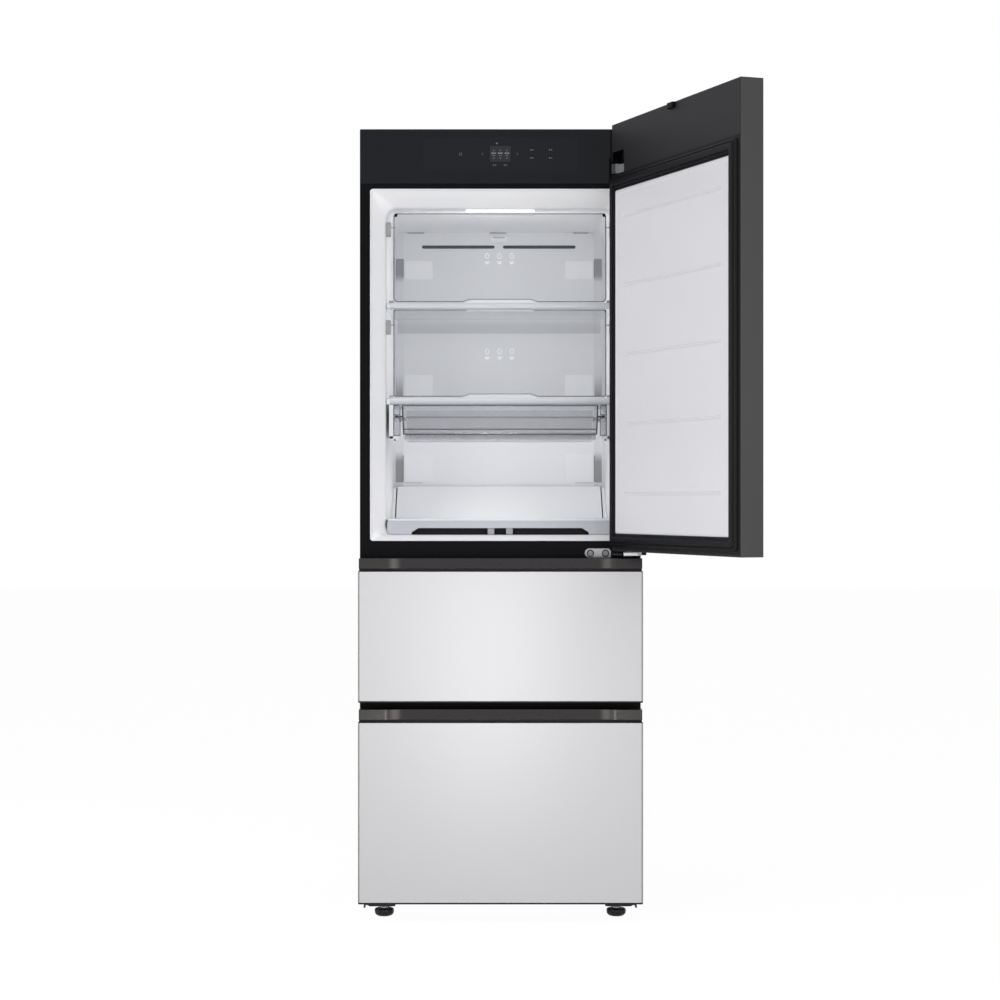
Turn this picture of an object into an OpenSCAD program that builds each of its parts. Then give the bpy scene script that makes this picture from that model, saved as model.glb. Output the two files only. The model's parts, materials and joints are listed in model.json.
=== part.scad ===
// Stand-up kimchi refrigerator: one swing door over two pull-out drawers.
// Millimetres. X to the right, Y to the back, Z up. The pieces are drawn round the cabinet's
// middle plane (X = 0), its front plane (Y = 0) and the floor (Z = 0). place() then moves the
// whole so that the origin is at the bottom centre of its box with the door open.

/* [Overall] */
// Width of the cabinet and of the door
body_w = 665; // [640:1:720]
// Depth over everything, from the drawer fronts to the back
body_d = 698; // [680:1:760]
// Height of the cabinet's top above the floor
body_h = 1866; // [1800:1:1950]
// Height of the cabinet's underside above the floor
base_z = 30; // [28:1:34]
// How far the door and drawer fronts stand in front of the cabinet
front_off = 72; // [71:0.5:74]

/* [Door] */
// Angle at which the door stands open
door_angle = 110.5; // [95:0.5:114]
// Thickness of the door without its gasket
door_t = 54; // [53:0.5:55]
// How far the door's top stands above the cabinet's top
door_over = 4; // [2:1:8]
// Distance of the hinge axis from the door's side edge
pivot_in = 30; // [28:1:33]
// Distance of the hinge axis from the door's inner face
pivot_back = 32; // [31:0.5:33]

/* [Drawers] */
// How much wider the drawer fronts are than the cabinet
drawer_over = 1; // [0:0.5:2]
// Lower edge of the lower drawer's front above the floor
lower_z0 = 43; // [40:1:48]
// Height of the lower drawer's front panel
lower_h = 425; // [405:1:445]
// Height of the middle drawer's front panel
middle_h = 307.5; // [280:0.5:330]
// Height of the handle trim over each panel
trim_h = 30; // [28:0.5:31]
// Gap over each drawer front
front_gap = 16; // [14:0.5:18]

/* [Upper compartment] */
// Height of the control panel with the frame under it
panel_h = 141; // [136:1:150]
// Width of the frame at each side of the mouth
frame_w = 24; // [22:0.5:26]
// Thickness of the side walls, foam and liner together
side_wall = 59.5; // [57:0.5:62]
// Thickness of the back wall, foam and liner together
back_wall = 40; // [36:1:46]
// Gap between a clear guard and the side wall
guard_gap = 19; // [18:0.5:24]

/* [Walls] */
// Thickness of the walls round the drawers, foam and liner together
drawer_wall = 42.5; // [40:0.5:48]
// Thickness of the sheet metal
sheet_t = 1.2; // [1:0.1:1.5]
// Thickness of the liners
liner_t = 2; // [1.5:0.1:2.5]
// Thickness of clear and moulded plastic parts
plastic_t = 2.5; // [2:0.1:3]

/* [Rails] */
// Height of the telescopic rails' fixed members
rail_h = 45; // [40:1:48]

/* [Feet and rollers] */
// Radius of a levelling foot
foot_r = 22.5; // [18:0.5:24]
// Radius of a rear roller
roller_r = 14; // [12:0.5:14]

/* [Hidden] */
$fn = 48;

// Colours
steel_dark = "#2e2f31";
frame_black = "#121214";
glass_black = "#1b1d21";
liner_white = "#e9e9eb";
panel_white = "#e0e0e2";
trim_brown = "#3c3a38";
door_grey = "#4a4a4b";
rubber_black = "#1c1c1e";
clear_grey = "#c3c6ca";
zinc = "#b4b6b8";
foam = "#e8dfb0";

// Clearances
slide_gap = 0.5;
pin_gap = 0.05;
cut = 1;

// Fronts, stacked from the floor up
lower_z1 = lower_z0 + lower_h;
middle_z0 = lower_z1 + trim_h + front_gap;
middle_z1 = middle_z0 + middle_h;
door_z0 = middle_z1 + trim_h + front_gap + 0.5;
door_z1 = body_h + door_over;
drawer_half = body_w / 2 + drawer_over / 2;

// Cabinet
half_w = body_w / 2;
back_y = body_d - front_off;
case_in = half_w - sheet_t;
frame_d = 20;
mouth_half = half_w - frame_w;
mouth_z0 = door_z0 + 23;
mouth_z1 = body_h - panel_h;
panel_z0 = mouth_z1 + 12;
panel_d = 28;
foam_y0 = 30;
boss_x = [half_w - 74.5, half_w - 6.5];
boss_z1 = panel_z0 + 60;

// Machine room
room_y0 = back_y - 228;
room_z1 = 234;
pan_t = 2;
machine_y = back_y - 106;
compressor_x = 162.5 - half_w;

// Upper room: the mouth's straight lip, then the flare
lip_y = 4;
flare_y = 50;
sill_y = 20;
room_half = half_w - side_wall;
room_top = mouth_z1 - 41;
room_floor = mouth_z0 + 14;
room_back = back_y - back_wall;

// Drawer rooms
box_half = half_w - drawer_wall;
box_back = back_y - 66;
middle_room_z = [middle_z0 + 18, middle_z1 + 14.5];
lower_room_z = [lower_z0 + 21, lower_z1 + 14];
step_y = room_y0 - 32;
step_z = [236, 300];
miter = tan(22.5);

// Door, drawn closed
inner_y = -front_off + door_t;
piv_x = half_w - pivot_in;
piv_y = inner_y - pivot_back;
skin_t = 4;
edge_t = 3;
seal_in = 12;
seal_w = 28;
seal_h = 14;
seal_z0 = mouth_z0 - 10;
seal_z1 = mouth_z1 + 19;
pin_r = 5;
bush_r = 7.5;
bush_len = 14;
liner_edge = 43.5;
groove_n = 5;
groove_step = (seal_z1 - seal_z0 - 217) / (groove_n - 1);

// Hinge pocket in the door
pocket_w = 70;
pocket_z = [panel_z0 + 15, panel_z0 + 47];
recess_z1 = panel_z0 + 77;
recess_d = 22;
arm_z = [panel_z0 + 19, panel_z0 + 43];
arm_turn = 111;
arm_w = 14;
eye_r = 11;

// Guards
guard_half = room_half - guard_gap;
guard_y = [57, 60];
upper_guard_z = [room_top - 223, room_top - 10];
lower_guard_z = [room_top - 449.4, room_top - 240];
upper_pivot_z = room_top - 44;
lower_pivot_z = room_top - 278;
guard_pin_r = 3;
guard_pin_y = (guard_y[0] + guard_y[1]) / 2;
bracket_x = room_half - 11;

// Shelves
upper_trim_z = [room_top - 237.8, room_top - 224.4];
lower_trim_z = [room_top - 468, room_top - 452];
upper_glass_z = room_top - 231;
lower_glass_z = room_top - 460;
glass_t = 4.5;
ledge_w = 9;
shelf_y = [52, 64];
trim_half = room_half - 1.5;
glass_half = room_half - 4;

// Parts behind and below the shelves
duct_half = room_half - 24;
duct_y = [room_back - 48, room_back - 45];
duct_z0 = room_floor + 105;
outlet_h = 72;
outlet_at = [0.09, 0.415, 0.878];
fan_z = duct_z0 + 320;
hump_half = room_half - 11;
hump_y = [duct_y[0] - 152, duct_y[0] - 48];
hump_z = [room_floor + 35, room_floor + 118];
floor_shelf_z = room_floor + 38;

// Clear tray: its side channels and the ledges that its runners slide between
tray_z = [lower_trim_z[0] - 75, lower_trim_z[0]];
carrier_x = room_half - 5;
tray_half = room_half - 31;
runner_x = tray_half + 9;
runner_z = [tray_z[0] + 45, tray_z[0] + 49];
carrier_y = [56, 330];

// Rails and bins
rail_len = box_back - 80;
middle_rail_z = middle_room_z[0] + 130.5;
lower_rail_z = step_z[1] + 52.5;
guide_half = rail_h / 2;
mid_half = guide_half - 2.3;
bar_half = mid_half - 2.3;
trim_in = 1.6;
scoop_r = 18;
scoop_half = drawer_half - 53;
middle_bin_z = [middle_room_z[0] + 20, middle_room_z[1] - 36];
lower_bin_z = [lower_room_z[0] + 20, lower_room_z[1] - 27];
middle_bin_y = box_back - 55;
lower_bin_y = step_y - 14;

// Feet and rollers
foot_x = half_w - 56.8;
foot_y = 25;
roller_x = half_w - 62.5;
roller_y = back_y - 41;

// Display board behind the control panel
board_y = 9;
board_z = [panel_z0 + 28, panel_z0 + 98];

// Cord gland
cover_y = [back_y - 2, back_y];
gland_x = half_w - 47.5;
gland_z = room_z1 - 44;

// Bottom centre of the whole with the door open
function turned(x, y) = [
    piv_x + (x - piv_x) * cos(door_angle) - (y - piv_y) * sin(door_angle),
    piv_y + (x - piv_x) * sin(door_angle) + (y - piv_y) * cos(door_angle)
];
left_x = -drawer_half;
right_x = turned(-half_w, -front_off)[0];
front_y = turned(-half_w, inner_y)[1];
middle_x = (left_x + right_x) / 2;
middle_y = (front_y + back_y) / 2;

// ---- shared shapes ----

module place() translate([-middle_x, -middle_y, 0]) children();

module door_pose()
    place() translate([piv_x, piv_y, 0]) rotate([0, 0, door_angle]) translate([-piv_x, -piv_y, 0])
        children();

module box(x0, x1, y0, y1, z0, z1) translate([x0, y0, z0]) cube([x1 - x0, y1 - y0, z1 - z0]);

module slab(half, y0, y1, z0, z1) box(-half, half, y0, y1, z0, z1);

// A pair of boxes, mirrored in the middle plane
module pair(x0, x1, y0, y1, z0, z1) {
    box(x0, x1, y0, y1, z0, z1);
    box(-x1, -x0, y0, y1, z0, z1);
}

module both_sides() {
    children();
    mirror([1, 0, 0]) children();
}

// A frame in the XZ plane: outer half width and heights, less the inner ones
module ring(out_half, in_half, y0, y1, out_z, in_z) difference() {
    slab(out_half, y0, y1, out_z[0], out_z[1]);
    slab(in_half, y0 - cut, y1 + cut, in_z[0], in_z[1]);
}

// Extrudes a shape drawn in (Y, Z) along X
module along_x(x0, x1) translate([x0, 0, 0]) rotate([90, 0, 90]) linear_extrude(x1 - x0) children();

// Extrudes a shape drawn in (X, Z) along Y
module along_y(y0, y1) translate([0, y1, 0]) rotate([90, 0, 0]) linear_extrude(y1 - y0) children();

module rod_x(x0, x1, y, z, r) translate([x0, y, z]) rotate([0, 90, 0]) cylinder(r = r, h = x1 - x0);

module rod_y(x, y0, y1, z, r) translate([x, y1, z]) rotate([90, 0, 0]) cylinder(r = r, h = y1 - y0);

module rod_z(x, y, z0, z1, r) translate([x, y, z0]) cylinder(r = r, h = z1 - z0);

module rounded(half, z0, z1, r) {
    translate([-half + r, z0]) square([2 * (half - r), z1 - z0]);
    translate([-half, z0 + r]) square([2 * half, z1 - z0 - 2 * r]);
    for (x = [-half + r, half - r], z = [z0 + r, z1 - r]) translate([x, z]) circle(r);
}

// ---- rooms: g = 0 is the hollow, g = liner_t the outside of the liner ----

module upper_room(g, y0) intersection() {
    half = mouth_half - liner_t + g;
    translate([0, 0, mouth_z0 - cut]) linear_extrude(mouth_z1 - mouth_z0 + 2 * cut) polygon([
        [-half, y0], [half, y0], [half, lip_y], [room_half + g, flare_y],
        [room_half + g, room_back + g], [-room_half - g, room_back + g],
        [-room_half - g, flare_y], [-half, lip_y]
    ]);
    along_x(-half_w, half_w) polygon([
        [y0, mouth_z0 + liner_t - g], [lip_y, mouth_z0 + liner_t - g], [sill_y, room_floor - g],
        [room_back + g, room_floor - g], [room_back + g, room_top + g], [flare_y, room_top + g],
        [lip_y, mouth_z1 - liner_t + g], [y0, mouth_z1 - liner_t + g]
    ]);
}

module middle_room(g, y0)
    slab(box_half + g, y0, box_back + g, middle_room_z[0] - g, middle_room_z[1] + g);

module lower_room(g, y0) along_x(-box_half - g, box_half + g) polygon([
    [y0, lower_room_z[0] - g], [step_y + g, lower_room_z[0] - g],
    [step_y + g, step_z[0] - miter * g], [step_y + step_z[1] - step_z[0] + miter * g, step_z[1] - g],
    [box_back + g, step_z[1] - g], [box_back + g, lower_room_z[1] + g], [y0, lower_room_z[1] + g]
]);

// ---- cabinet ----

module outer_case() color(steel_dark) place() difference() {
    slab(half_w, 0, back_y, base_z, body_h);
    slab(case_in, -cut, back_y + cut, base_z - cut, body_h - sheet_t);
}

module back_panel() color("#8f9193") place()
    slab(case_in, back_y - sheet_t, back_y, room_z1, body_h - sheet_t);

module base_pan() color("#9a9c9e") place() difference() {
    along_x(-case_in, case_in) polygon([
        [frame_d, base_z], [back_y - 2, base_z], [back_y - 2, base_z + pan_t],
        [room_y0 + pan_t, base_z + pan_t], [room_y0 + pan_t, room_z1 - pan_t],
        [back_y - 2, room_z1 - pan_t], [back_y - 2, room_z1], [room_y0, room_z1],
        [room_y0, base_z + pan_t], [frame_d, base_z + pan_t]
    ]);
    for (s = [-1, 1]) rod_z(s * foot_x, foot_y, base_z - cut, base_z + pan_t + cut, pin_r + 1);
}

module insulation() color(foam) place() difference() {
    slab(case_in, frame_d, back_y - sheet_t, base_z + pan_t, body_h - sheet_t);
    upper_room(liner_t, 0);
    middle_room(liner_t, 0);
    lower_room(liner_t, 0);
    slab(half_w, 0, foam_y0, panel_z0, body_h);
    slab(half_w, room_y0, back_y, base_z, room_z1);
    for (s = [-1, 1]) rod_z(s * foot_x, foot_y, base_z, base_z + 34, pin_r + 1);
}

module front_frame() color(frame_black) place() {
    difference() {
        slab(case_in, 0, frame_d, base_z, panel_z0);
        slab(mouth_half, -cut, frame_d + cut, mouth_z0, mouth_z1);
        slab(box_half + liner_t, -cut, frame_d + cut, middle_room_z[0] - liner_t,
            middle_room_z[1] + liner_t);
        slab(box_half + liner_t, -cut, frame_d + cut, lower_room_z[0] - liner_t,
            lower_room_z[1] + liner_t);
        for (s = [-1, 1]) rod_z(s * foot_x, foot_y, base_z - cut, base_z + 34, pin_r + 1);
    }
    box(boss_x[0], boss_x[1], 3, frame_d, panel_z0, boss_z1);
}

module upper_liner() color(liner_white) place() {
    difference() {
        upper_room(liner_t, 0);
        upper_room(0, -cut);
    }
    for (z = [upper_glass_z, lower_glass_z])
        pair(room_half - ledge_w, room_half + cut, shelf_y[1], duct_y[0] - 38, z - 4, z);
}

module middle_liner() color(liner_white) place() difference() {
    middle_room(liner_t, 0);
    middle_room(0, -cut);
}

module lower_liner() color(liner_white) place() difference() {
    lower_room(liner_t, 0);
    lower_room(0, -cut);
}

module control_panel() color(glass_black) place() {
    top = body_h - sheet_t;
    difference() {
        slab(case_in, 0, panel_d, panel_z0, top);
        slab(case_in - plastic_t, 4, panel_d + cut, panel_z0 + plastic_t, top - plastic_t);
        box(boss_x[0], half_w, -cut, panel_d + cut, panel_z0 - cut, boss_z1);
    }
    for (x = [-180, 180], z = [board_z[0] + 8, board_z[1] - 8]) rod_y(x, 4, board_y, z, 4);
}

module display_board() color("#1d5a34") place()
    slab(190, board_y, board_y + 2, board_z[0], board_z[1]);

module ceiling_lamp() color("white") place()
    slab(82.5, flare_y + 4, flare_y + 30, room_top - 8.5, room_top);

// ---- behind the upper room ----

module duct_cover() color(liner_white) place() {
    difference() {
        slab(duct_half, duct_y[0], room_back, duct_z0, room_top);
        slab(duct_half - 3, duct_y[1], room_back + cut, duct_z0 - cut, room_top + cut);
        pair(11, duct_half - 49, duct_y[0] - cut, duct_y[1] + cut, room_top - 42, room_top - 33.4);
        for (k = outlet_at) {
            z = duct_z0 + k * (room_top - duct_z0);
            slab(duct_half + cut, duct_y[1] + 4, room_back - 4, z - outlet_h / 2, z + outlet_h / 2);
        }
    }
    slab(21.5, duct_y[0] - 4, duct_y[0], room_top - 24, room_top - 9);
    rod_y(0, duct_y[1], duct_y[1] + 9, fan_z, 16);
    rod_y(0, duct_y[1] + 9, duct_y[1] + 25, fan_z, guard_pin_r);
}

module return_cover() color(liner_white) place() {
    slope = [[hump_y[0], hump_z[0]], [hump_y[1], hump_z[1]], [duct_y[0], hump_z[1]]];
    under = [[duct_y[0], hump_z[1] - 3], [hump_y[1] + 1, hump_z[1] - 3], [hump_y[0] + 5, hump_z[0]]];
    along_x(-hump_half, hump_half) polygon(concat(slope, under));
    both_sides() along_x(hump_half - 3, hump_half)
        polygon(concat([[hump_y[0], room_floor]], slope, [[duct_y[0], room_floor]]));
}

module evaporator() color("#c9cbcd") place() {
    for (i = [0:19])
        box(-181 + 19 * i, -179 + 19 * i, room_back - 36, room_back, duct_z0 + 30, duct_z0 + 210);
    for (y = [room_back - 27, room_back - 11], z = [55, 95, 145, 185])
        rod_x(-200, 200, y, duct_z0 + z, 4);
}

module fan(r, hub_r, depth, blades) difference() {
    union() {
        cylinder(r = hub_r, h = depth);
        for (i = [0:blades - 1]) rotate([0, 0, 360 * i / blades])
            translate([hub_r - 4, -1, 0]) rotate([35, 0, 0]) cube([r - hub_r + 4, 22, 1.6]);
    }
    translate([0, 0, -cut]) cylinder(r = guard_pin_r + pin_gap, h = depth + 2 * cut);
}

module evaporator_fan() color("#f2f2f2") place()
    translate([0, duct_y[1] + 27, fan_z]) rotate([90, 0, 0]) fan(52, 18, 16, 5);

// ---- upper room ----

module shelf(trim_z, glass_z, back) {
    slab(trim_half, shelf_y[0], shelf_y[1], trim_z[0], trim_z[1]);
    slab(glass_half, shelf_y[1], back, glass_z, glass_z + glass_t);
}

module upper_shelf() color(clear_grey) place() shelf(upper_trim_z, upper_glass_z, duct_y[0] - 38);

module lower_shelf() color(clear_grey) place() shelf(lower_trim_z, lower_glass_z, duct_y[0] - 118);

module floor_shelf() color("#c6c8cf") place() {
    notch = room_half - 62;
    difference() {
        slab(room_half - 3.4, 36, 40, room_floor, floor_shelf_z);
        along_y(36 - cut, 40 + cut) polygon([
            [-notch, room_floor - cut], [notch, room_floor - cut], [notch, room_floor + 6],
            [notch - 16, room_floor + 16], [16 - notch, room_floor + 16], [-notch, room_floor + 6]
        ]);
    }
    slab(glass_half, 40, hump_y[0] - 2, floor_shelf_z - 5, floor_shelf_z - 1);
    pair(room_half - 18, room_half - 15, 40, hump_y[0] - 2, room_floor, floor_shelf_z - 5);
    pair(14, 30, 40, 60, room_floor, floor_shelf_z - 5);
}

module guard_brackets() color("#8e9196") place() both_sides()
    for (z = [upper_pivot_z, lower_pivot_z]) difference() {
        box(bracket_x, room_half, 50, 67, z - 44, z + 12);
        rod_x(bracket_x - cut, bracket_x + 7, guard_pin_y, z, guard_pin_r + pin_gap);
    }

module guard(z, pivot_z) {
    along_y(guard_y[0], guard_y[1]) rounded(guard_half, z[0], z[1], 12);
    along_y(guard_y[0] - 5, guard_y[0]) polygon([
        [-88, z[0]], [88, z[0]], [88, z[0] + 3], [80, z[0] + 8], [-80, z[0] + 8], [-88, z[0] + 3]
    ]);
    pair(guard_half - 14, guard_half, guard_pin_y - 4, guard_pin_y + 4, pivot_z - 8, pivot_z + 8);
    both_sides() rod_x(guard_half, bracket_x + 6.5, guard_pin_y, pivot_z, guard_pin_r);
}

module upper_guard() color(clear_grey, 0.5) place() guard(upper_guard_z, upper_pivot_z);

module lower_guard() color(clear_grey, 0.5) place() guard(lower_guard_z, lower_pivot_z);

// Side channels under the lower shelf, with two ledges each for the tray's runner
module tray_carrier() color(clear_grey) place() {
    web = carrier_x - plastic_t;
    low = runner_z[0] - slide_gap;
    high = runner_z[1] + slide_gap;
    pair(web, carrier_x, carrier_y[0], carrier_y[1], tray_z[0], tray_z[1]);
    for (z = [tray_z[0], tray_z[1] - plastic_t, low - plastic_t, high])
        pair(tray_half + 4, web, carrier_y[0], carrier_y[1], z, z + plastic_t);
    pair(tray_half + 4, room_half - ledge_w - slide_gap, shelf_y[1] + slide_gap, carrier_y[1],
        tray_z[1], lower_glass_z);
}

module clear_tray() color(clear_grey, 0.6) place() {
    z0 = tray_z[0] + 5;
    z1 = tray_z[1] - 8;
    difference() {
        slab(tray_half, 54, 320, z0, z1);
        slab(tray_half - plastic_t, 58, 320 - plastic_t, z0 + plastic_t, z1 + cut);
    }
    pair(tray_half, runner_x, 58, 318, runner_z[0], runner_z[1]);
}

// ---- machine room ----

floor_z = base_z + pan_t;

module compressor() color("#19191b") place() translate([compressor_x, machine_y - 10, 0]) {
    rotate_extrude() polygon([
        [0, 46], [62, 46], [72, 54], [75, 66], [75, 150], [70, 172], [56, 188], [34, 197], [0, 200]
    ]);
    box(-92, 92, -70, 70, 42, 46);
    for (x = [-80, 80], y = [-58, 58]) rod_z(x, y, floor_z, 42, 9);
    rod_z(70, 50, 46, 140, 4);
    rod_x(50, 74, 50, 136, 4);
}

module condenser() color("#55585b") place() translate([0, machine_y, 0]) {
    for (i = [0:13]) box(66 + 12 * i, 67.5 + 12 * i, -70, 70, 64, 200);
    for (y = [-40, 0, 40], z = [84, 116, 148, 180]) rod_x(60, 228, y, z, 4);
    box(46, 234, -70, 70, 200, 202);
    for (y = [-58, 50]) box(230, 234, y, y + 8, floor_z, 200);
    difference() {
        box(46, 49, -80, 80, floor_z, 212);
        rod_x(45, 50, 0, 130, 64);
    }
    box(46, 49, -6, 6, 60, 200);
    rod_x(44, 58, 0, 130, 16);
    rod_x(24, 44, 0, 130, guard_pin_r);
}

module condenser_fan() color("#222224") place()
    translate([24, machine_y, 130]) rotate([0, 90, 0]) fan(60, 20, 16, 5);

module drain_pan() color("#3a3b3d") place() translate([0, machine_y, 0]) difference() {
    box(60, 226, -74, 76, floor_z, 58);
    box(60 + plastic_t, 226 - plastic_t, -74 + plastic_t, 76 - plastic_t, floor_z + plastic_t, 59);
}

module machine_cover() color("#77797b") place() difference() {
    slab(case_in - 0.5, cover_y[0], cover_y[1], floor_z, room_z1 - 1);
    for (x = [42.5 - half_w, half_w - 262.5], i = [0:9])
        box(x, x + 190, cover_y[0] - cut, cover_y[1] + cut, 56 + 14 * i, 62 + 14 * i);
    rod_y(gland_x, cover_y[0] - cut, cover_y[1] + cut, gland_z, 9);
}

// Gland for the supply cord, with the bore that the cord passes through
module power_inlet() color(rubber_black) place() difference() {
    union() {
        rod_y(gland_x, back_y - 18, back_y, gland_z, 9);
        rod_y(gland_x, cover_y[0] - 3, cover_y[0], gland_z, 13);
    }
    rod_y(gland_x, back_y - 19, back_y + cut, gland_z, 4);
}

// ---- hinges, feet and rollers ----

module upper_hinge() color("#a9a9a9") place() {
    box(boss_x[0] + 4, boss_x[1] - 4, -3, 3, panel_z0 + 8, panel_z0 + 56);
    intersection() {
        translate([piv_x, piv_y, arm_z[0]]) rotate([0, 0, arm_turn])
            translate([0, -arm_w / 2, 0]) cube([60, arm_w, arm_z[1] - arm_z[0]]);
        slab(half_w, -front_off, -2, arm_z[0] - cut, arm_z[1] + cut);
    }
    rod_z(piv_x, piv_y, arm_z[0], arm_z[1], eye_r);
    rod_z(piv_x, piv_y, pocket_z[0] - 12, pocket_z[1] + 12, pin_r);
}

module lower_hinge() color("#a9a9a9") place() {
    left = half_w - 120.5;
    box(left, half_w - 32.5, -3, 0, door_z0 - 15, door_z0 + 5);
    rod_y(left, -3, 0, door_z0 - 5, 10);
    for (x = [left + 1.6, left + 37]) rod_y(x, -5, -3, door_z0 - 6.7, 5);
    box(half_w - 77.5, half_w - 6.5, piv_y - 12, 0, door_z0 - 12, door_z0 - 4);
    box(half_w - 6.5, half_w, piv_y - 6, piv_y + 6, door_z0 - 11, door_z0 - 5);
    rod_z(piv_x, piv_y, door_z0 - 4, door_z0 + 16, pin_r);
}

module foot_brackets() color("#26272a") place() both_sides() difference() {
    box(foot_x - 38, foot_x + 38, 3, 60, base_z - 5, base_z);
    rod_z(foot_x, foot_y, base_z - 5 - cut, base_z + cut, pin_r + pin_gap);
}

module foot() {
    rod_z(0, 0, 0, 16, foot_r);
    rod_z(0, 0, 16, 21, foot_r - 6);
    rod_z(0, 0, 21, base_z + 30, pin_r);
}

module foot_left() color("#1a1a1c") place() translate([-foot_x, foot_y, 0]) foot();

module foot_right() color("#1a1a1c") place() translate([foot_x, foot_y, 0]) foot();

module roller_brackets() color(zinc) place() both_sides() {
    for (x = [roller_x - 14, roller_x + 12]) box(x, x + 2, roller_y - 12, roller_y + 12, 6, base_z);
    rod_x(roller_x - 14, roller_x + 14, roller_y, roller_r, guard_pin_r);
}

module roller() difference() {
    rod_x(roller_x - 11, roller_x + 11, roller_y, roller_r, roller_r);
    rod_x(roller_x - 12, roller_x + 12, roller_y, roller_r, guard_pin_r + pin_gap);
}

module roller_left() color("#2b2b2d") place() mirror([1, 0, 0]) roller();

module roller_right() color("#2b2b2d") place() roller();

// ---- door, drawn closed and swung open by door_pose() ----

module bush_holes(r) {
    rod_z(piv_x, piv_y, door_z0 - cut, door_z0 + 18, r);
    rod_z(piv_x, piv_y, pocket_z[0] - bush_len, pocket_z[0] + cut, r);
    rod_z(piv_x, piv_y, pocket_z[1] - cut, pocket_z[1] + bush_len, r);
}

module pocket_walls() {
    box(half_w - pocket_w - plastic_t, half_w, -front_off + 5.3, inner_y,
        pocket_z[0] - plastic_t, pocket_z[1] + plastic_t);
    box(half_w - pocket_w, half_w, inner_y - recess_d - plastic_t, inner_y, pocket_z[1],
        recess_z1 + plastic_t);
}

module door_skin() color(panel_white) door_pose()
    slab(half_w, -front_off, -front_off + skin_t, door_z0, door_z1);

module door_frame() color(door_grey) door_pose() difference() {
    union() {
        difference() {
            slab(half_w, -front_off + skin_t, inner_y, door_z0, door_z1);
            slab(half_w - edge_t, -front_off, inner_y - edge_t, door_z0 + edge_t, door_z1 - edge_t);
            slab(half_w - liner_edge, inner_y - edge_t - cut, inner_y + cut, seal_z0 + 31, seal_z1 - 35);
        }
        pocket_walls();
    }
    box(half_w - pocket_w, half_w + cut, -front_off + 7.8, inner_y + cut, pocket_z[0], pocket_z[1]);
    box(half_w - pocket_w + 2, half_w - plastic_t, inner_y - recess_d, inner_y + cut,
        pocket_z[1] - cut, recess_z1);
    bush_holes(bush_r);
}

module door_core() color(foam) door_pose() difference() {
    slab(half_w - edge_t, -front_off + skin_t, inner_y - edge_t, door_z0 + edge_t, door_z1 - edge_t);
    pocket_walls();
    bush_holes(bush_r);
}

module door_liner() color("#d6d5d9") door_pose() difference() {
    union() {
        slab(half_w - liner_edge, inner_y - edge_t, inner_y, seal_z0 + 31, seal_z1 - 35);
        slab(half_w - seal_in - seal_w - 0.2, inner_y, inner_y + 6, seal_z0 + 28.2, seal_z1 - 32.2);
    }
    for (i = [0:groove_n - 1]) {
        z = seal_z0 + 122 + groove_step * i;
        slab(half_w - 82.5, inner_y + 4.5, inner_y + 7, z - 2, z + 2);
    }
}

module door_gasket() color(rubber_black) door_pose() {
    half = half_w - seal_in;
    ring(half, half - seal_w, inner_y, inner_y + 7, [seal_z0, seal_z1],
        [seal_z0 + seal_w, seal_z1 - seal_w - 4]);
    ring(half - 8, half - 22, inner_y + 7, inner_y + seal_h, [seal_z0 + 8, seal_z1 - 8],
        [seal_z0 + 22, seal_z1 - 22]);
}

module door_bushes() color("#e4e4e4") door_pose() difference() {
    union() {
        rod_z(piv_x, piv_y, door_z0, door_z0 + 18, bush_r);
        rod_z(piv_x, piv_y, pocket_z[0] - bush_len, pocket_z[0], bush_r);
        rod_z(piv_x, piv_y, pocket_z[1], pocket_z[1] + bush_len, bush_r);
    }
    rod_z(piv_x, piv_y, door_z0 - cut, door_z1, pin_r + pin_gap);
}

module door_cap() color(rubber_black) door_pose() slab(20, inner_y, inner_y + 8, door_z1 - 14, door_z1 - 1);

// ---- drawers ----

module front_plate(z) slab(drawer_half, -front_off, -front_off + skin_t, z[0], z[1]);

// Handle trim: a bar along the top with a finger scoop in its front
module trim(z1) difference() {
    slab(drawer_half - trim_in, -front_off, -40, z1, z1 + trim_h);
    rod_x(-scoop_half, scoop_half, -front_off - 8, z1 + 17, scoop_r);
}

module core(z) {
    slab(drawer_half, -front_off + skin_t, inner_y, z[0], z[1]);
    slab(drawer_half - trim_in, -40, inner_y, z[1], z[1] + trim_h);
}

module seal(room_z) ring(box_half + 28, box_half + 6, inner_y, -1.5, [room_z[0] - 14, room_z[1] + 13],
    [room_z[0] - 6, room_z[1] + 6]);

// Bin: narrow below the rails, wide above them, so that it rests on the sliders
module bin(z, rest_z, back) {
    low = box_half - 31;
    high = box_half - 16;
    difference() {
        union() {
            slab(low, 6, back, z[0], rest_z + plastic_t);
            slab(high, 6, back, rest_z, z[1]);
        }
        slab(low - plastic_t, 6 + plastic_t, back - plastic_t, z[0] + plastic_t, z[1] + cut);
        slab(high - plastic_t, 6 + plastic_t, back - plastic_t, rest_z + plastic_t, z[1] + cut);
    }
}

// Half of a channel or tube, drawn in (X, Z): x0 and x1 from the liner's wall
module section(x0, x1, y0, y1, z, half) box(box_half - x0, box_half - x1, y0, y1, z - half, z + half);

// Fixed member: a channel on the liner's wall, open towards the drawer
module guides(z) both_sides() difference() {
    section(12, 0, 20, 20 + rail_len, z, guide_half);
    section(13, 1.5, 19, 21 + rail_len, z, guide_half - 1.5);
}

// Middle member: a smaller channel that runs in the fixed one
module mids(z) both_sides() difference() {
    section(11, 2.2, 22, rail_len - 18, z, mid_half);
    section(13, 3.7, 21, rail_len - 17, z, mid_half - 1.5);
}

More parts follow.
